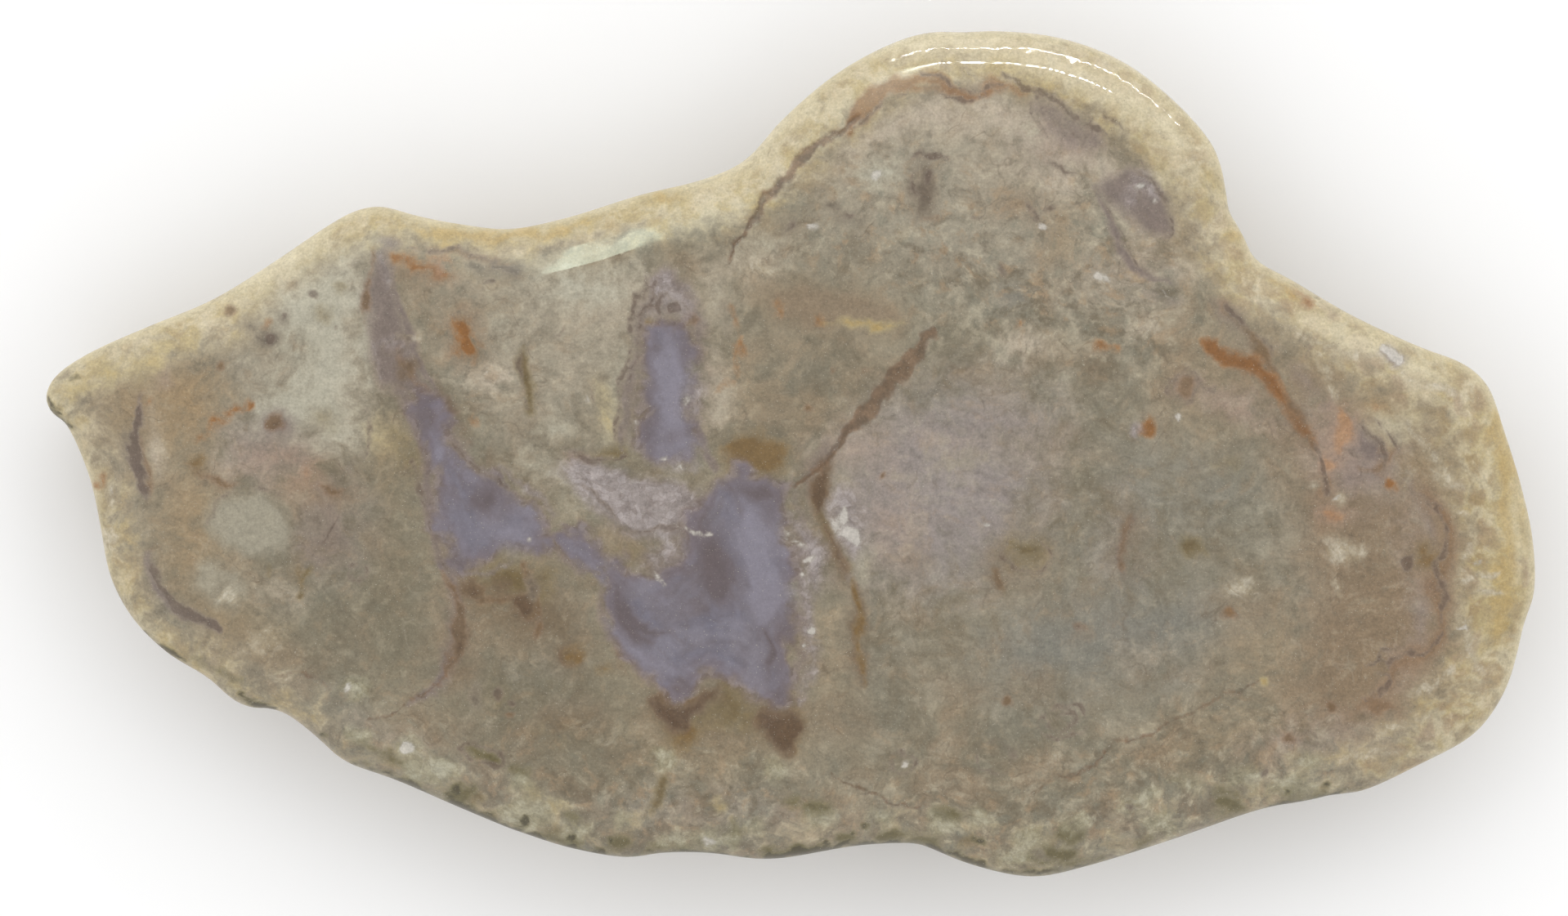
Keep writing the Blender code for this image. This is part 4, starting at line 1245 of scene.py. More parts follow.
def relaxed(heights, triangles, freedom, passes):
    """Heights evened out over the mesh, each by its own share of freedom, in several passes."""
    edges = np.vstack([triangles[:, (0, 1)], triangles[:, (1, 2)], triangles[:, (2, 0)]])
    ends = np.concatenate([edges[:, 0], edges[:, 1]])
    others = np.concatenate([edges[:, 1], edges[:, 0]])
    weight = np.maximum(np.bincount(ends, minlength=len(heights)), 1)
    for _ in range(passes):
        middle = np.bincount(ends, heights[others], minlength=len(heights)) / weight
        heights = heights + (middle - heights) * freedom
    return heights


def inside_ring(points, ring):
    """Signed distance from points to a closed ring, positive inside it."""
    best = np.full(len(points), np.inf)
    inside = np.zeros(len(points), bool)
    for a, b in zip(ring, np.roll(ring, -1, axis=0)):
        best = np.minimum(best, to_segment(points, a, b)[0])
        if a[1] != b[1]:
            x = a[0] + (b[0] - a[0]) * (points[:, 1] - a[1]) / (b[1] - a[1])
            inside ^= ((a[1] > points[:, 1]) != (b[1] > points[:, 1])) & (points[:, 0] < x)
    return np.where(inside, best, -best)


def to_segment(points, a, b):
    """Distance from points to the segment from a to b, and where on it each is nearest."""
    reach = b - a
    share = np.clip((points - a) @ reach / max(reach @ reach, 1e-12), 0.0, 1.0)
    return np.linalg.norm(points - a - share[:, None] * reach, axis=1), share


def inside_streak(points, mark):
    """Signed distance from points to a tapered line's edge, positive inside it."""
    line = mark["line"]
    lengths = np.linalg.norm(np.diff(line, axis=0), axis=1)
    along = np.concatenate([[0.0], np.cumsum(lengths)]) / lengths.sum()
    best = np.full(len(points), -np.inf)
    for k in range(len(line) - 1):
        distance, share = to_segment(points, line[k], line[k + 1])
        place = along[k] + (along[k + 1] - along[k]) * share
        taper = mark["ends"] + (1 - mark["ends"]) * np.sqrt(np.sin(math.pi * np.clip(place, 0, 1)))
        best = np.maximum(best, mark["width"] / 2 * taper - distance)
    return best


def inside_mark(points, mark, margin):
    """Signed distance inside a mark, for the points near it, and -margin for the others."""
    shape = mark.get("ring", mark.get("line"))
    reach = margin + mark.get("width", 0.0)
    low, high = shape.min(axis=0) - reach, shape.max(axis=0) + reach
    near = ((points > low) & (points < high)).all(axis=1)
    depth = np.full(len(points), -float(margin))
    if near.any() and "ring" in mark:
        depth[near] = inside_ring(points[near], shape)
    elif near.any():
        depth[near] = inside_streak(points[near], mark)
    return np.maximum(depth, -margin)


def cover(points, marks, fade, fine=False):
    """How much each point is covered by the marks, from 0 to 1, and 0.5 at their edges.

    Fine marks, as slim as the mesh is coarse, keep the whole fade, so that none falls between
    points.
    """
    most = np.zeros(len(points))
    for mark in marks:
        spread = fade if fine else min(fade, 0.9 * mark["slimness"])
        share = np.clip(0.5 + inside_mark(points, mark, spread) / (2 * spread), 0.0, 1.0)
        if fine:
            share = np.where(share < 0.5, share, 0.5 + (share - 0.5) * mark["strength"])
        else:
            share *= mark["strength"]
        most = np.maximum(most, share)
    return most


def wobbled(pixels):
    """Pixels pushed about by a few crossing waves, so that drawn edges aren't too smooth."""
    random = np.random.default_rng(5)
    moved = pixels.copy()
    for length, size in ((70.0, 3.0), (28.0, 1.8), (12.0, 0.9)):
        for _ in range(4):
            angle, phase = random.uniform(0, 2 * math.pi, 2)
            heading = np.array([math.cos(angle), math.sin(angle)])
            wave = np.sin(pixels @ heading * 2 * math.pi / length + phase) * size
            moved += np.outer(wave, [-heading[1], heading[0]]) / 2
            moved += np.outer(wave, heading) / 2
    return moved


def rim_values(pixels):
    """The pale rim's width, paleness and cells at each point, blended from the places near it."""
    totals = np.zeros((len(pixels), 3))
    weights = np.zeros(len(pixels))
    for x, y, *values in RIM_PLACES:
        weight = 1 / (1.0 + np.hypot(pixels[:, 0] - x, pixels[:, 1] - y) / RIM_BLEND) ** 4
        totals += np.outer(weight, values)
        weights += weight
    return (totals / weights[:, None]).T


def slab_mesh():
    """Points and triangles, with each point's region, depth inside the outline and place round it.

    Regions: 0 is the polished top, 1 the natural side, and 2 the sawn back.
    """
    outline = girth_outline()
    count = len(outline)
    fine = spaced_evenly(outline, 8 * count)
    fine_tree = tree_of(fine)

    edge_plans = nested(outline, EDGE_RINGS)
    inner_edge = edge_plans[-1]
    cracks = thinned(crack_points(), CRACK_GAP)
    cracks = cracks[nearest(cracks, fine_tree)[0] > EDGE_RINGS[-1] + FACE_PITCH]
    face = lattice(FACE_PITCH, inner_edge)
    face_depth, _ = nearest(face, fine_tree)
    crack_gap, _ = nearest(face, tree_of(cracks))
    clear = (face_depth > EDGE_RINGS[-1] + 0.5 * FACE_PITCH) & (crack_gap > 0.5 * FACE_PITCH)
    face = np.vstack([face[clear], cracks])

    plan = np.vstack(edge_plans + [face])
    depth = np.concatenate([np.full(count, d) for d in EDGE_RINGS] + [nearest(face, fine_tree)[0]])
    rim = (len(EDGE_RINGS) - 1) * count
    triangles = [banded(count, k * count, (k + 1) * count) for k in range(len(EDGE_RINGS) - 1)]
    triangles.append(filled(inner_edge, face) + rim)
    top = np.vstack(triangles)
    freedom = 0.5 * np.clip((depth - 0.15) / 0.6, 0.0, 1.0)
    heights = relaxed(top_height(plan, depth), top, freedom, RELAX_PASSES)
    wave = noise_at(flat(plan), POLISH_SPACING) * POLISH_WAVE
    top_points = np.column_stack([plan, heights + wave * np.clip(depth, 0.0, 1.0) - POLISH_WAVE])

    shares = np.arange(1, SIDE_BANDS + 1) / SIDE_BANDS
    leans = 1 - np.sqrt(1 - shares**2)
    reach = UNDERCUT - BACK_BEVEL
    side_plans = nested(outline, reach * (shares + (leans - shares) * UNDERCUT_ROUNDNESS))
    side_points = []
    for share, ring in zip(shares, side_plans):
        girth = girth_height(ring)
        place = np.column_stack([ring, girth + (BACK_BEVEL - girth) * share])
        lump = sum(height * noise_at(place, spacing) for height, spacing in LUMPS)
        lump = lump * math.sin(math.pi * share**LUMPS_LOW)
        grit = sum(height * noise_at(place, spacing) for height, spacing in SKIN_GRIT)
        grit = grit * min(1.0, 4 * share, 6 * (1.05 - share))
        side_points.append(place - flat(inward(ring) * (lump + grit)[:, None]))

    back_rim = nested(outline, [UNDERCUT])[0]
    back_inner = lattice(BACK_PITCH, back_rim)
    clear = nearest(back_inner, tree_of(spaced_evenly(back_rim, 4 * count)))[0] > 0.5 * BACK_PITCH
    back_plan = np.vstack([back_rim, back_inner[clear]])
    back_points = flat(back_plan)

    points = np.vstack([top_points] + side_points + [back_points])
    first_side = len(top_points)
    first_back = first_side + SIDE_BANDS * count
    starts = [0] + [first_side + k * count for k in range(SIDE_BANDS)] + [first_back]
    side = np.vstack([banded(count, low, high) for high, low in zip(starts, starts[1:])])
    back = filled(back_rim, back_inner[clear])[:, ::-1] + first_back

    region = np.zeros(len(points), int)
    region[first_side:first_back] = 1
    region[first_back:] = 2
    nearest_index = nearest(points[:, :2], fine_tree)[1]
    round_place = nearest_index / len(fine)
    all_depth = np.concatenate([
        depth, points[first_side:first_back, 2] - GIRTH_HEIGHT,
        nearest(back_plan, fine_tree)[0],
    ])
    face_region = np.repeat([0, 1, 2], [len(top), len(side), len(back)])
    return points, np.vstack([top, side, back]), region, all_depth, round_place, face_region


def seam_free_round(triangles, round_place):
    """Each triangle corner's place round the outline, carried past 1 where it crosses the seam."""
    corners = round_place[triangles]
    crossing = corners.max(axis=1) - corners.min(axis=1) > 0.5
    return corners + (crossing[:, None] & (corners < 0.5))


def texture_places(points, triangles, face_region, round_place):
    """Where each triangle corner lies on a texture sheet: the face above the side and the back."""
    x = points[:, 0][triangles] / (2 * HIGH.x / MM) + 0.5
    y = points[:, 1][triangles] / (2 * HIGH.x / MM)
    z = points[:, 2][triangles] / CROWN
    around = seam_free_round(triangles, round_place)
    which = [face_region[:, None] == 0, face_region[:, None] == 1]
    u = np.select(which, [x, around / 1.002], x / 2)
    v = np.select(which, [y + FACE_START, SIDE_START + z * SIDE_HEIGHT], y / 2 + BACK_START)
    return np.clip(np.stack([u, v], axis=-1).reshape(-1, 2), 0.001, 0.999)


def add_field(mesh, name, values):
    field = mesh.attributes.new(name, "FLOAT", "POINT")
    field.data.foreach_set("value", np.asarray(values, np.float32))


def make_slab():
    """The slab as a dense mesh, with a field for each kind of mark."""
    points, triangles, region, depth, round_place, face_region = slab_mesh()
    pixels = to_pixels(points)
    # Through the stone's thickness the pattern drifts, so the back isn't a mirror of the face.
    below = np.clip((GIRTH_HEIGHT - points[:, 2]) / GIRTH_HEIGHT, 0.0, 1.0)[:, None]
    pixels = pixels + below * DRIFT
    drawn = wobbled(pixels)

    cracked = cover(drawn, CRACKS, 6.0, True)
    groove = np.clip((cracked - 0.5) * 4, 0.0, 1.0) * (region == 0)
    points[:, 2] -= groove * CRACK_DEPTH

    mesh = bpy.data.meshes.new("coprolite_stone")
    mesh.from_pydata((points * MM).tolist(), [], triangles.tolist())
    mesh.shade_smooth()
    sheet = mesh.uv_layers.new(name="OFBake")
    places = texture_places(points, triangles, face_region, round_place)
    sheet.data.foreach_set("uv", places.astype(np.float32).ravel())

    for name, kind in (MARKS | OVER_MARKS).items():
        add_field(mesh, name, cover(drawn, kind["marks"], kind["fade"], "fine" in kind))
    add_field(mesh, "crack", cracked)
    agate = np.max([inside_mark(drawn, mark, 40.0) for mark in AGATES], axis=0)
    add_field(mesh, "agate", agate * MM_PER_PIXEL)
    width, pale, cells = rim_values(drawn)
    add_field(mesh, "rim", np.clip(
        0.5 + (width - depth / MM_PER_PIXEL) / (2 * RIM_FADE), 0.0, 1.0))
    add_field(mesh, "rim_band", np.clip(
        0.5 + (width + BAND_REACH - depth / MM_PER_PIXEL) / (2 * BAND_FADE), 0.0, 1.0))
    # How pale the rim is, blended from RIM_PLACES: low along the lower edges as painted shade.
    add_field(mesh, "rim_pale_and_shade", pale)
    # A pale lip within 0.9 mm of the edge, only where the rim is pale: painted highlight.
    lip = np.clip(1 - depth / 0.9, 0.0, 1.0)
    add_field(mesh, "rim_lip_highlight", lip * np.clip(3 * pale - 1.4, 0.0, 1.0))
    add_field(mesh, "rim_cells", cells)
    add_field(mesh, "curdled", cover(drawn, CURDLED_MARKS, 60.0))
    add_field(mesh, "mirror", cover(drawn, MIRROR_MARKS, 7.0) * (region == 0))
    below_girth = np.clip((GIRTH_HEIGHT - points[:, 2]) / 0.8, 0.0, 1.0)
    add_field(mesh, "skin", np.where(region == 1, below_girth, 0.0))
    add_field(mesh, "sawn", (region == 2).astype(float))

    slab = bpy.data.objects.new("coprolite_stone", mesh)
    bpy.context.scene.collection.objects.link(slab)
    print("slab triangles", len(triangles), "points", len(points))
    return slab


# Materials.


def paint(red, green, blue):
    """A colour as the photograph shows it, 0 to 255, as the linear RGBA that a shader takes."""
    def linear(value):
        value /= 255
        return value / 12.92 if value <= 0.04045 else ((value + 0.055) / 1.055) ** 2.4
    return tuple(linear(value) / LIT for value in (red, green, blue)) + (1.0,)


class Nodes:
    """Short calls that add shader nodes to one material and return their output sockets."""

    def __init__(self, name):
        self.material = bpy.data.materials.new(name)
        self.material.use_nodes = True
        self.tree = self.material.node_tree
        self.shader = self.tree.nodes["Principled BSDF"]
        self.place = self.tree.nodes.new("ShaderNodeTexCoord").outputs["Object"]

    def connect(self, value, socket):
        if isinstance(value, bpy.types.NodeSocket):
            self.tree.links.new(value, socket)
        else:
            socket.default_value = value

    def field(self, name):
        node = self.tree.nodes.new("ShaderNodeAttribute")
        node.attribute_name = name
        return node.outputs["Fac"]

    def calc(self, operation, a, b=0.0, c=0.0, clamp=False):
        node = self.tree.nodes.new("ShaderNodeMath")
        node.operation = operation
        node.use_clamp = clamp
        for value, socket in zip((a, b, c), node.inputs):
            self.connect(value, socket)
        return node.outputs[0]

    def vector_calc(self, operation, a, b):
        node = self.tree.nodes.new("ShaderNodeVectorMath")
        node.operation = operation
        self.connect(a, node.inputs[0])
        self.connect(b, node.inputs["Scale" if operation == "SCALE" else 1])
        return node.outputs[0]

    def noise(self, size, detail=3.0, rough=0.55, at=None, moved=None, output="Fac"):
        """Noise round 0.5, with features of about this size in millimetres.

        It is read at the coordinates at, or at the place itself, moved by moved.
        """
        node = self.tree.nodes.new("ShaderNodeTexNoise")
        at = self.place if at is None else at
        at = at if moved is None else self.vector_calc("ADD", at, moved)
        self.tree.links.new(at, node.inputs["Vector"])
        node.inputs["Scale"].default_value = 1 / (size * MM)
        node.inputs["Detail"].default_value = detail
        node.inputs["Roughness"].default_value = rough
        return node.outputs[output]

    def cells(self, size, at, feature):
        """A value for each cell of about this size in millimetres, or how far its edge is."""
        node = self.tree.nodes.new("ShaderNodeTexVoronoi")
        node.feature = feature
        self.tree.links.new(at, node.inputs["Vector"])
        node.inputs["Scale"].default_value = 1 / (size * MM)
        if feature == "DISTANCE_TO_EDGE":
            return node.outputs["Distance"]
        channels = self.tree.nodes.new("ShaderNodeSeparateColor")
        self.tree.links.new(node.outputs["Color"], channels.inputs["Color"])
        return channels.outputs[0]

    def pushed(self, at, size, distance):
        """The coordinates at, pushed about by up to distance millimetres in swirls of this size."""
        swirl = self.noise(size, 2.0, 0.5, at, output="Color")
        push = self.vector_calc("SUBTRACT", swirl, (0.5, 0.5, 0.5))
        return self.vector_calc("ADD", at, self.vector_calc("SCALE", push, 2 * distance * MM))

    def step(self, value, low, high, most=1.0):
        """0 below low, most above high, and a smooth rise between."""
        node = self.tree.nodes.new("ShaderNodeMapRange")
        node.interpolation_type = "SMOOTHSTEP"
        self.connect(value, node.inputs["Value"])
        node.inputs["From Min"].default_value = low
        node.inputs["From Max"].default_value = high
        node.inputs["To Max"].default_value = most
        return node.outputs["Result"]

    def mix(self, share, a, b):
        node = self.tree.nodes.new("ShaderNodeMix")
        node.data_type = "RGBA"
        for value, socket in zip((share, a, b), (node.inputs[0], node.inputs[6], node.inputs[7])):
            self.connect(value, socket)
        return node.outputs[2]

    def blend(self, value, low, high, a, b):
        """From the paint a to the paint b as the value goes from low to high."""
        return self.mix(self.step(value, low, high), paint(*a), paint(*b))

    def tinted(self, colour, *tints, within=None):
        """The colour with tints over it, all of them only as far as the share within lets them.

        A tint is the value that it follows, where it starts and is full, how much it covers at
        most, and its own paint.
        """
        for value, low, high, most, own in tints:
            share = self.step(value, low, high, most)
            share = share if within is None else self.calc("MULTIPLY", share, within)
            colour = self.mix(share, colour, paint(*own))
        return colour

    def share(self, value, amount):
        return self.calc("MULTIPLY", value, amount)

    def around_half(self, value, amount):
        """A noise's swing about its middle, made amount times as large."""
        return self.share(self.calc("SUBTRACT", value, 0.5), amount)

    def total(self, first, *others):
        for other in others:
            first = self.calc("ADD", first, other)
        return first


def stone_material():
    """Polished agatised stone: cloudy body, pale rim with tan cells, and the marks in layers."""
    n = Nodes("polished_coprolite")
    flow = n.pushed(n.place, 6.0, 1.6)
    stir = n.pushed(flow, 1.3, 0.3)
    cloud = n.noise(8.0, 4.0, 0.55, flow)
    hue = n.noise(4.0, 4.0, 0.55, flow, (0.2, 0.1, 0.3))
    mottle = n.noise(2.2, 5.0, 0.62, stir)
    curd = n.noise(0.95, 4.0, 0.62, stir)
    other_curd = n.noise(1.2, 4.0, 0.62, stir, (0.4, 0.1, 0.2))
    grain = n.noise(0.42, 3.0, 0.6)
    grit = n.noise(0.16, 2.0, 0.5)
    speck = n.noise(0.1, 1.0, 0.5, moved=(0.3, 0.3, 0.1))
    thread = n.noise(3.0, 2.0, 0.5, stir, (0.7, 0.2, 0.4))
    bent = n.pushed(stir, 2.4, 0.9)
    crystal = n.cells(0.5, bent, "F1")
    gap = n.cells(0.5, bent, "DISTANCE_TO_EDGE")

    # The body: olive grey and warm grey clouds.
    colour = n.tinted(
        n.blend(cloud, 0.36, 0.64, (127, 118, 98), (148, 137, 115)),
        (hue, 0.5, 0.66, 0.5, (156, 135, 109)), (hue, 0.5, 0.34, 0.45, (129, 126, 110)),
        (mottle, 0.5, 0.66, 0.32, (166, 155, 134)), (mottle, 0.5, 0.34, 0.28, (116, 104, 84)))

    wander = n.total(
        n.around_half(mottle, 1.5), n.around_half(curd, 0.55), n.around_half(grain, 0.1))
    frays = {}

    def frayed(value, ragged):
        """A field with ragged times the wander added to it at 0.5, and less towards 0 and 1."""
        if ragged not in frays:
            down = n.share(wander, -4 * ragged)
            frays[ragged] = down, n.calc("SUBTRACT", 1.0, down)
        return n.calc("MULTIPLY", value, n.calc("MULTIPLY_ADD", value, *frays[ragged]))

    def layer(colour, name, kind):
        """The colour so far with one kind of mark over it."""
        value = frayed(n.field(name), kind.get("ragged", 1.0))
        low, high = kind.get("fine", (0.5 - kind.get("soft", 0.5), 1.0))
        own = n.blend(value, (low + high) / 2, high, kind["edge"], kind["core"])
        if "grains" in kind:
            dark, pale = kind["grains"]
            own = n.tinted(
                own, (curd, 0.5, 0.64, 0.5, pale), (curd, 0.5, 0.36, 0.4, dark),
                (crystal, 0.35, 0.05, 0.3, dark), (crystal, 0.6, 0.9, 0.4, pale),
                (gap, 0.08, 0.01, 0.25, dark))
        return n.mix(n.step(value, low, high, kind["strength"]), colour, own)

    for name in UNDER_CURDS:
        colour = layer(colour, name, MARKS[name])

    # Curds and granules, which show in the body and faintly in what lies over it.
    curdled = n.total(n.share(n.field("curdled"), 0.75), 0.4)
    colour = n.tinted(
        colour,
        (mottle, 0.52, 0.66, 0.34, (180, 170, 146)), (mottle, 0.48, 0.34, 0.36, (110, 96, 74)),
        (curd, 0.53, 0.68, 0.44, (186, 176, 152)), (curd, 0.47, 0.33, 0.4, (106, 93, 72)),
        (other_curd, 0.53, 0.68, 0.5, (165, 140, 109)),
        (other_curd, 0.47, 0.32, 0.42, (128, 127, 111)), within=curdled)

    # Short curved threads, some dark and some pale.
    line = n.calc("ABSOLUTE", n.calc("SUBTRACT", thread, 0.5))
    colour = n.tinted(
        colour, (hue, 0.52, 0.58, 0.32, (108, 94, 76)), (hue, 0.46, 0.38, 0.14, (180, 170, 150)),
        within=n.step(line, 0.016, 0.004))

    # The rim: a cream network round translucent tan cells, fading into the body.
    network = n.cells(RIM_CELL, bent, "DISTANCE_TO_EDGE")
    shade_of_cell = n.cells(RIM_CELL, bent, "F1")
    cell = n.total(network, n.around_half(curd, 0.5), n.around_half(mottle, 0.6))
    cell = n.calc("MULTIPLY", n.step(cell, 0.0, 0.24, 0.85), n.field("rim_cells"))
    cream = n.tinted(
        n.blend(mottle, 0.4, 0.6, (200, 187, 154), (183, 165, 120)),
        (hue, 0.52, 0.64, 0.6, (206, 194, 166)), (other_curd, 0.53, 0.68, 0.5, (168, 146, 106)))
    tan = n.tinted(
        n.blend(other_curd, 0.42, 0.58, (160, 137, 98), (149, 125, 93)),
        (shade_of_cell, 0.6, 0.9, 0.6, (168, 148, 128)),
        (shade_of_cell, 0.4, 0.1, 0.5, (150, 129, 92)))
    # The rim's first tint is a painted highlight: pale cream at its outermost edge, where the rim
    # is pale.
    rim = n.tinted(
        n.mix(cell, cream, tan), (n.field("rim_lip_highlight"), 0.1, 0.8, 0.75, (205, 193, 158)),
        (curd, 0.54, 0.68, 0.32, (208, 196, 166)), (curd, 0.46, 0.34, 0.24, (156, 135, 96)))
    # The buff band and the pale rim follow the rim's paleness, which is lower along the lower edges
    # as painted shade.
    band = n.total(n.field("rim_band"), n.around_half(mottle, 1.4), n.around_half(hue, 1.2))
    buff = n.blend(other_curd, 0.4, 0.6, (164, 150, 124), (153, 137, 108))
    reach = n.calc("MULTIPLY", n.step(band, 0.1, 0.9, 0.75), n.step(n.field("rim_pale_and_shade"), 0.3, 0.9))
    colour = n.mix(reach, colour, buff)
    patchy = n.total(n.field("rim_pale_and_shade"), n.around_half(mottle, 1.2), n.around_half(curd, 0.9))
    edge = frayed(n.field("rim"), 1.5)
    pale = n.calc("MULTIPLY", n.step(edge, 0.0, 1.0), n.step(patchy, 0.1, 0.85))
    colour = n.mix(pale, colour, rim)

    for name in MARKS:
        if name not in UNDER_CURDS:
            colour = layer(colour, name, MARKS[name])

    # Agate: smooth and translucent, lilac grey with faint bands that follow its walls.
    inside = n.field("agate")
    haze = n.noise(3.4, 3.0, 0.5, stir, (0.1, 0.6, 0.2))
    shore = n.noise(2.6, 2.0, 0.45, stir, (0.5, 0.3, 0.9))
    ragged_depth = n.total(inside, n.around_half(shore, 3.4), n.around_half(curd, 1.1),
                           n.around_half(grain, 0.25))
    wave = n.calc("SINE", n.total(n.share(inside, 8.0), n.around_half(mottle, 9.0)))
    lilac = n.tinted(
        n.blend(hue, 0.42, 0.58, (116, 109, 116), (114, 111, 124)),
        (ragged_depth, 1.7, 0.1, 0.7, (125, 112, 117)),
        (wave, 0.1, 1.0, 0.2, (132, 129, 141)), (wave, -0.1, -1.0, 0.2, (101, 93, 99)),
        (haze, 0.5, 0.64, 0.6, (136, 131, 141)), (haze, 0.48, 0.34, 0.65, (103, 90, 90)),
        (other_curd, 0.55, 0.7, 0.25, (138, 131, 138)), (curd, 0.45, 0.3, 0.3, (104, 92, 92)),
        (grit, 0.64, 0.8, 0.25, (150, 144, 150)))
    agate_share = n.step(ragged_depth, -0.55, 0.6, 0.96)
    colour = n.tinted(colour, (ragged_depth, -0.9, 0.1, 0.55, (117, 99, 86)))
    colour = n.mix(agate_share, colour, lilac)
    lip = n.calc("MULTIPLY", n.step(ragged_depth, -0.7, -0.05), n.step(ragged_depth, 0.35, -0.02))
    colour = n.tinted(
        colour, (crystal, 0.4, 0.7, 0.34, (156, 143, 138)),
        (crystal, 0.35, 0.1, 0.4, (108, 92, 84)), within=lip)
    for name, kind in OVER_MARKS.items():
        colour = layer(colour, name, kind)

    # Cracks, filled with dark brown.
    crack = n.total(n.field("crack"), n.around_half(grain, 0.8))
    seam = n.blend(curd, 0.35, 0.65, (100, 80, 60), (126, 100, 76))
    colour = n.mix(n.step(crack, 0.3, 0.8, 0.85), colour, seam)

    # Fine grain over everything, weaker in the clear agate.
    stony = n.calc("MULTIPLY_ADD", agate_share, -0.55, 1.0)
    shade = n.total(
        n.around_half(grain, 0.52), n.around_half(grit, 0.55), n.around_half(curd, 0.34))
    colour = n.vector_calc("SCALE", colour, n.calc("MULTIPLY_ADD", shade, stony, 1.0))
    colour = n.tinted(
        colour, (speck, 0.69, 0.78, 0.5, (206, 200, 184)), (speck, 0.31, 0.22, 0.4, (84, 72, 56)))

    # The natural skin round the side.
    skin = n.calc("ADD", n.field("skin"), n.around_half(grain, 0.8))
    skin_mask = n.step(skin, 0.3, 0.8)
    hide = n.tinted(
        n.blend(mottle, 0.4, 0.62, (150, 134, 104), (118, 104, 82)),
        (curd, 0.55, 0.7, 0.6, (186, 174, 146)), (grain, 0.4, 0.28, 0.8, (58, 48, 36)))
    colour = n.mix(n.share(skin_mask, 0.85), colour, hide)
    n.connect(colour, n.shader.inputs["Base Color"])

    # Finish: polished above, brightest at the mirror marks, with dull skin and a sawn back.
    sawn = n.field("sawn")
    gloss = n.calc("MULTIPLY_ADD", n.field("mirror"), -0.3, 0.33)
    gloss = n.total(gloss, n.step(curd, 0.6, 0.3, 0.015), n.share(skin_mask, 0.45))
    gloss = n.calc("ADD", gloss, n.share(sawn, 0.3), clamp=True)
    n.connect(gloss, n.shader.inputs["Roughness"])
    n.shader.inputs["IOR"].default_value = 1.54

    relief = n.total(n.share(n.noise(1.6, 2.0, 0.4), 0.04), n.share(grit, 0.008))
    relief = n.total(relief, n.share(n.calc("MULTIPLY", skin_mask, grain), 0.6))
    relief = n.total(relief, n.share(n.calc("MULTIPLY", sawn, grit), 0.15))
    bump = n.tree.nodes.new("ShaderNodeBump")
    bump.inputs["Distance"].default_value = 0.1 * MM
    bump.inputs["Strength"].default_value = 0.6
    n.connect(relief, bump.inputs["Height"])
    n.connect(bump.outputs["Normal"], n.shader.inputs["Normal"])
    return n.material


def floor_material():
    """A matt white sweep with the faintest tooth."""
    n = Nodes("white_sweep")
    tooth = n.noise(6.0, 3.0)
    n.connect(n.mix(n.share(tooth, 0.2), (0.97, 0.97, 0.97, 1.0), (0.93, 0.93, 0.935, 1.0)),
              n.shader.inputs["Base Color"])
    n.shader.inputs["Roughness"].default_value = 0.9
    n.shader.inputs["Specular IOR Level"].default_value = 0.2
    return n.material


# Surroundings.


def make_floor():
    mesh = bpy.data.meshes.new("floor")
    half = 2.5
    mesh.from_pydata([(-half, -half, 0), (half, -half, 0), (half, half, 0), (-half, half, 0)],
                     [], [(0, 1, 2, 3)])
    mesh.materials.append(floor_material())
    floor = bpy.data.objects.new("floor", mesh)
    bpy.context.scene.collection.objects.link(floor)


def make_world():
    """A white light tent, stronger behind the lobe and dark round the opening straight above."""
    world = bpy.data.worlds.new("light_tent")
    bpy.context.scene.world = world
    world.use_nodes = True
    tree = world.node_tree
    background = tree.nodes["Background"]
    heading = tree.nodes.new("ShaderNodeSeparateXYZ")
    tree.links.new(tree.nodes.new("ShaderNodeTexCoord").outputs["Generated"], heading.inputs[0])
    opening = tree.nodes.new("ShaderNodeMapRange")
    opening.interpolation_type = "SMOOTHSTEP"
    tree.links.new(heading.outputs["Z"], opening.inputs["Value"])
    for name, value in (("From Min", 0.8), ("From Max", 0.95), ("To Min", 1.0), ("To Max", 0.35)):
        opening.inputs[name].default_value = value
    side = tree.nodes.new("ShaderNodeMath")
    side.operation = "MULTIPLY_ADD"
    tree.links.new(heading.outputs["Y"], side.inputs[0])
    side.inputs[1].default_value = TENT_SIDE
    side.inputs[2].default_value = TENT_STRENGTH
    strength = tree.nodes.new("ShaderNodeMath")
    strength.operation = "MULTIPLY"
    tree.links.new(side.outputs[0], strength.inputs[0])
    tree.links.new(opening.outputs["Result"], strength.inputs[1])
    tree.links.new(strength.outputs[0], background.inputs["Strength"])
    background.inputs["Color"].default_value = (1.0, 1.0, 1.0, 1.0)


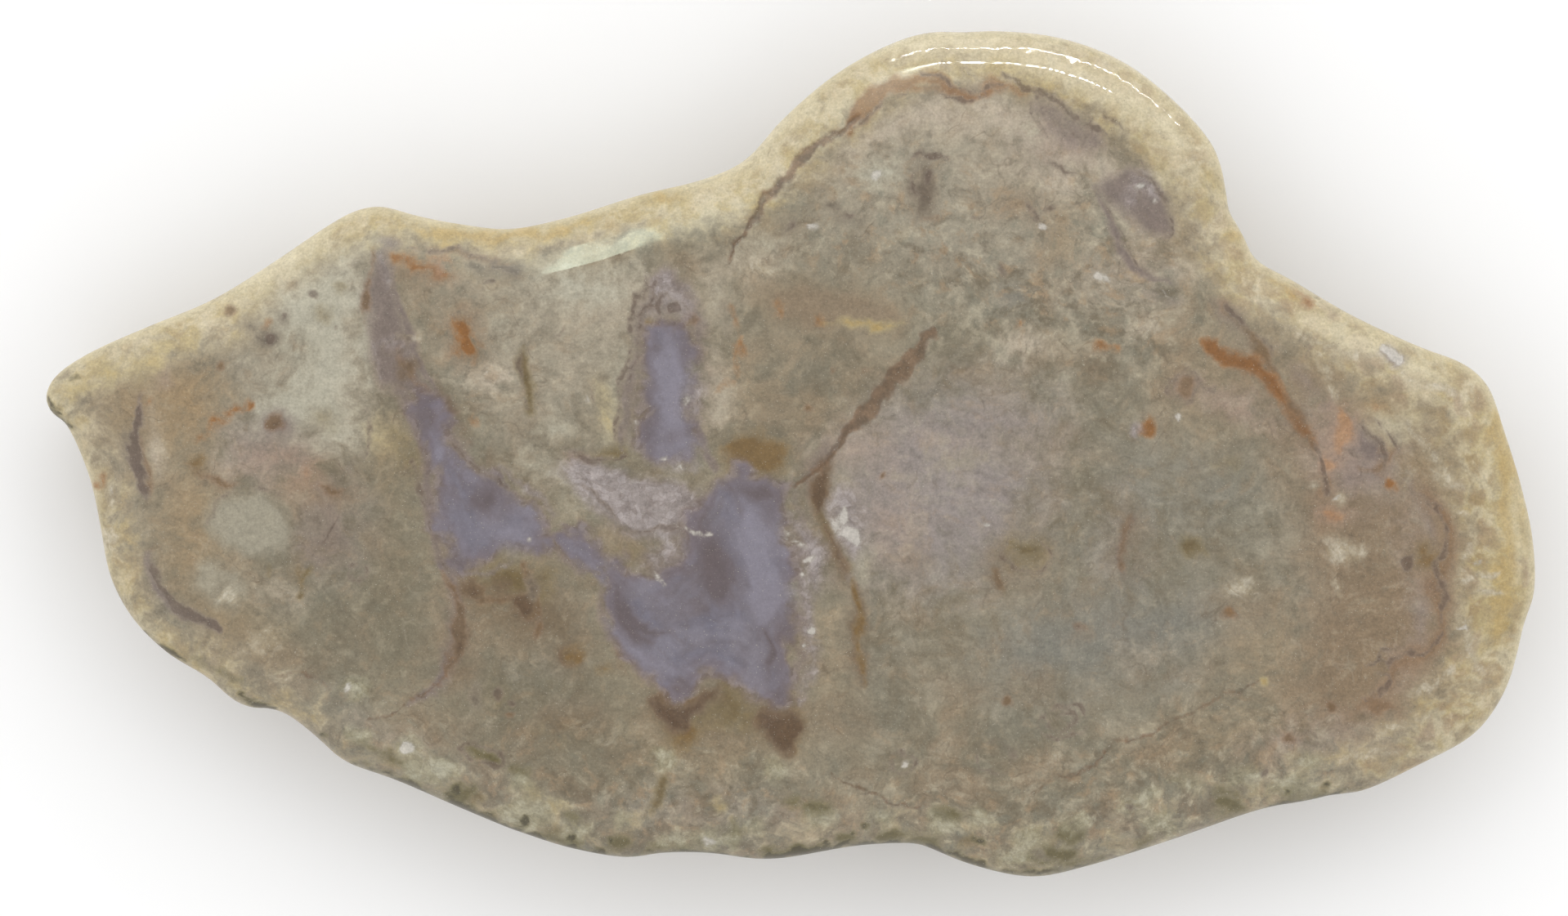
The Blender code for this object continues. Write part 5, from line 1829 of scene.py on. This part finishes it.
def aimed_light(name, place, size, radiance, colour, target, spread=math.pi):
    """An area light that shines at target with this radiance, and shows only as a reflection."""
    width, height = size
    data = bpy.data.lights.new(name, "AREA")
    data.shape = "RECTANGLE"
    data.size = width
    data.size_y = height
    data.spread = spread
    # A narrow beam gathers the energy, by this much.
    gathered = 1 - spread / 2 / math.tan(spread / 2)
    data.energy = radiance * math.pi * width * height * gathered
    data.color = colour
    light = bpy.data.objects.new(name, data)
    bpy.context.scene.collection.objects.link(light)
    light.location = place
    light.rotation_euler = (Vector(target) - Vector(place)).to_track_quat("-Z", "Y").to_euler()
    light.visible_diffuse = False


def make_lights():
    """Two rows of small lamps behind the lobe, and a pale green panel above the saddle."""
    lobe = Vector(LOBE) * MM
    for row, (zenith, last, radiance) in enumerate(LAMP_ROWS):
        rise, reach = math.cos(math.radians(zenith)), math.sin(math.radians(zenith))
        for k in range(LAMPS):
            azimuth = math.radians(FIRST_LAMP - (FIRST_LAMP - last) * k / (LAMPS - 1))
            heading = Vector((math.cos(azimuth) * reach, math.sin(azimuth) * reach, rise))
            aimed_light(f"lamp_{row}_{k}", lobe + heading * LAMP_DISTANCE, LAMP_SIZE, radiance,
                        LAMP_COLOUR, lobe, math.radians(LAMP_BEAM))
    aimed_light("green_panel", PANEL_PLACE, PANEL_SIZE, PANEL_RADIANCE, PANEL_COLOUR,
                Vector(SADDLE) * MM)


def make_camera():
    """Straight above the polished face, far enough away to show the edge as the photograph does."""
    data = bpy.data.cameras.new("camera")
    data.sensor_width = 36.0
    data.lens = data.sensor_width * CAMERA_DISTANCE / (PHOTO_WIDTH * MM_PER_PIXEL)
    data.clip_end = 10.0
    camera = bpy.data.objects.new("camera", data)
    bpy.context.scene.collection.objects.link(camera)
    x, y = to_plan([(PHOTO_WIDTH / 2, PHOTO_HEIGHT / 2)])[0]
    camera.location = (x * MM, y * MM, (GIRTH_HEIGHT + CAMERA_DISTANCE) * MM)
    bpy.context.scene.camera = camera


slab = make_slab()
slab.data.materials.append(stone_material())
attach(slab, "root")
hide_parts(NODE)

make_floor()
make_world()
make_lights()
make_camera()
bpy.context.scene.view_settings.view_transform = "Standard"
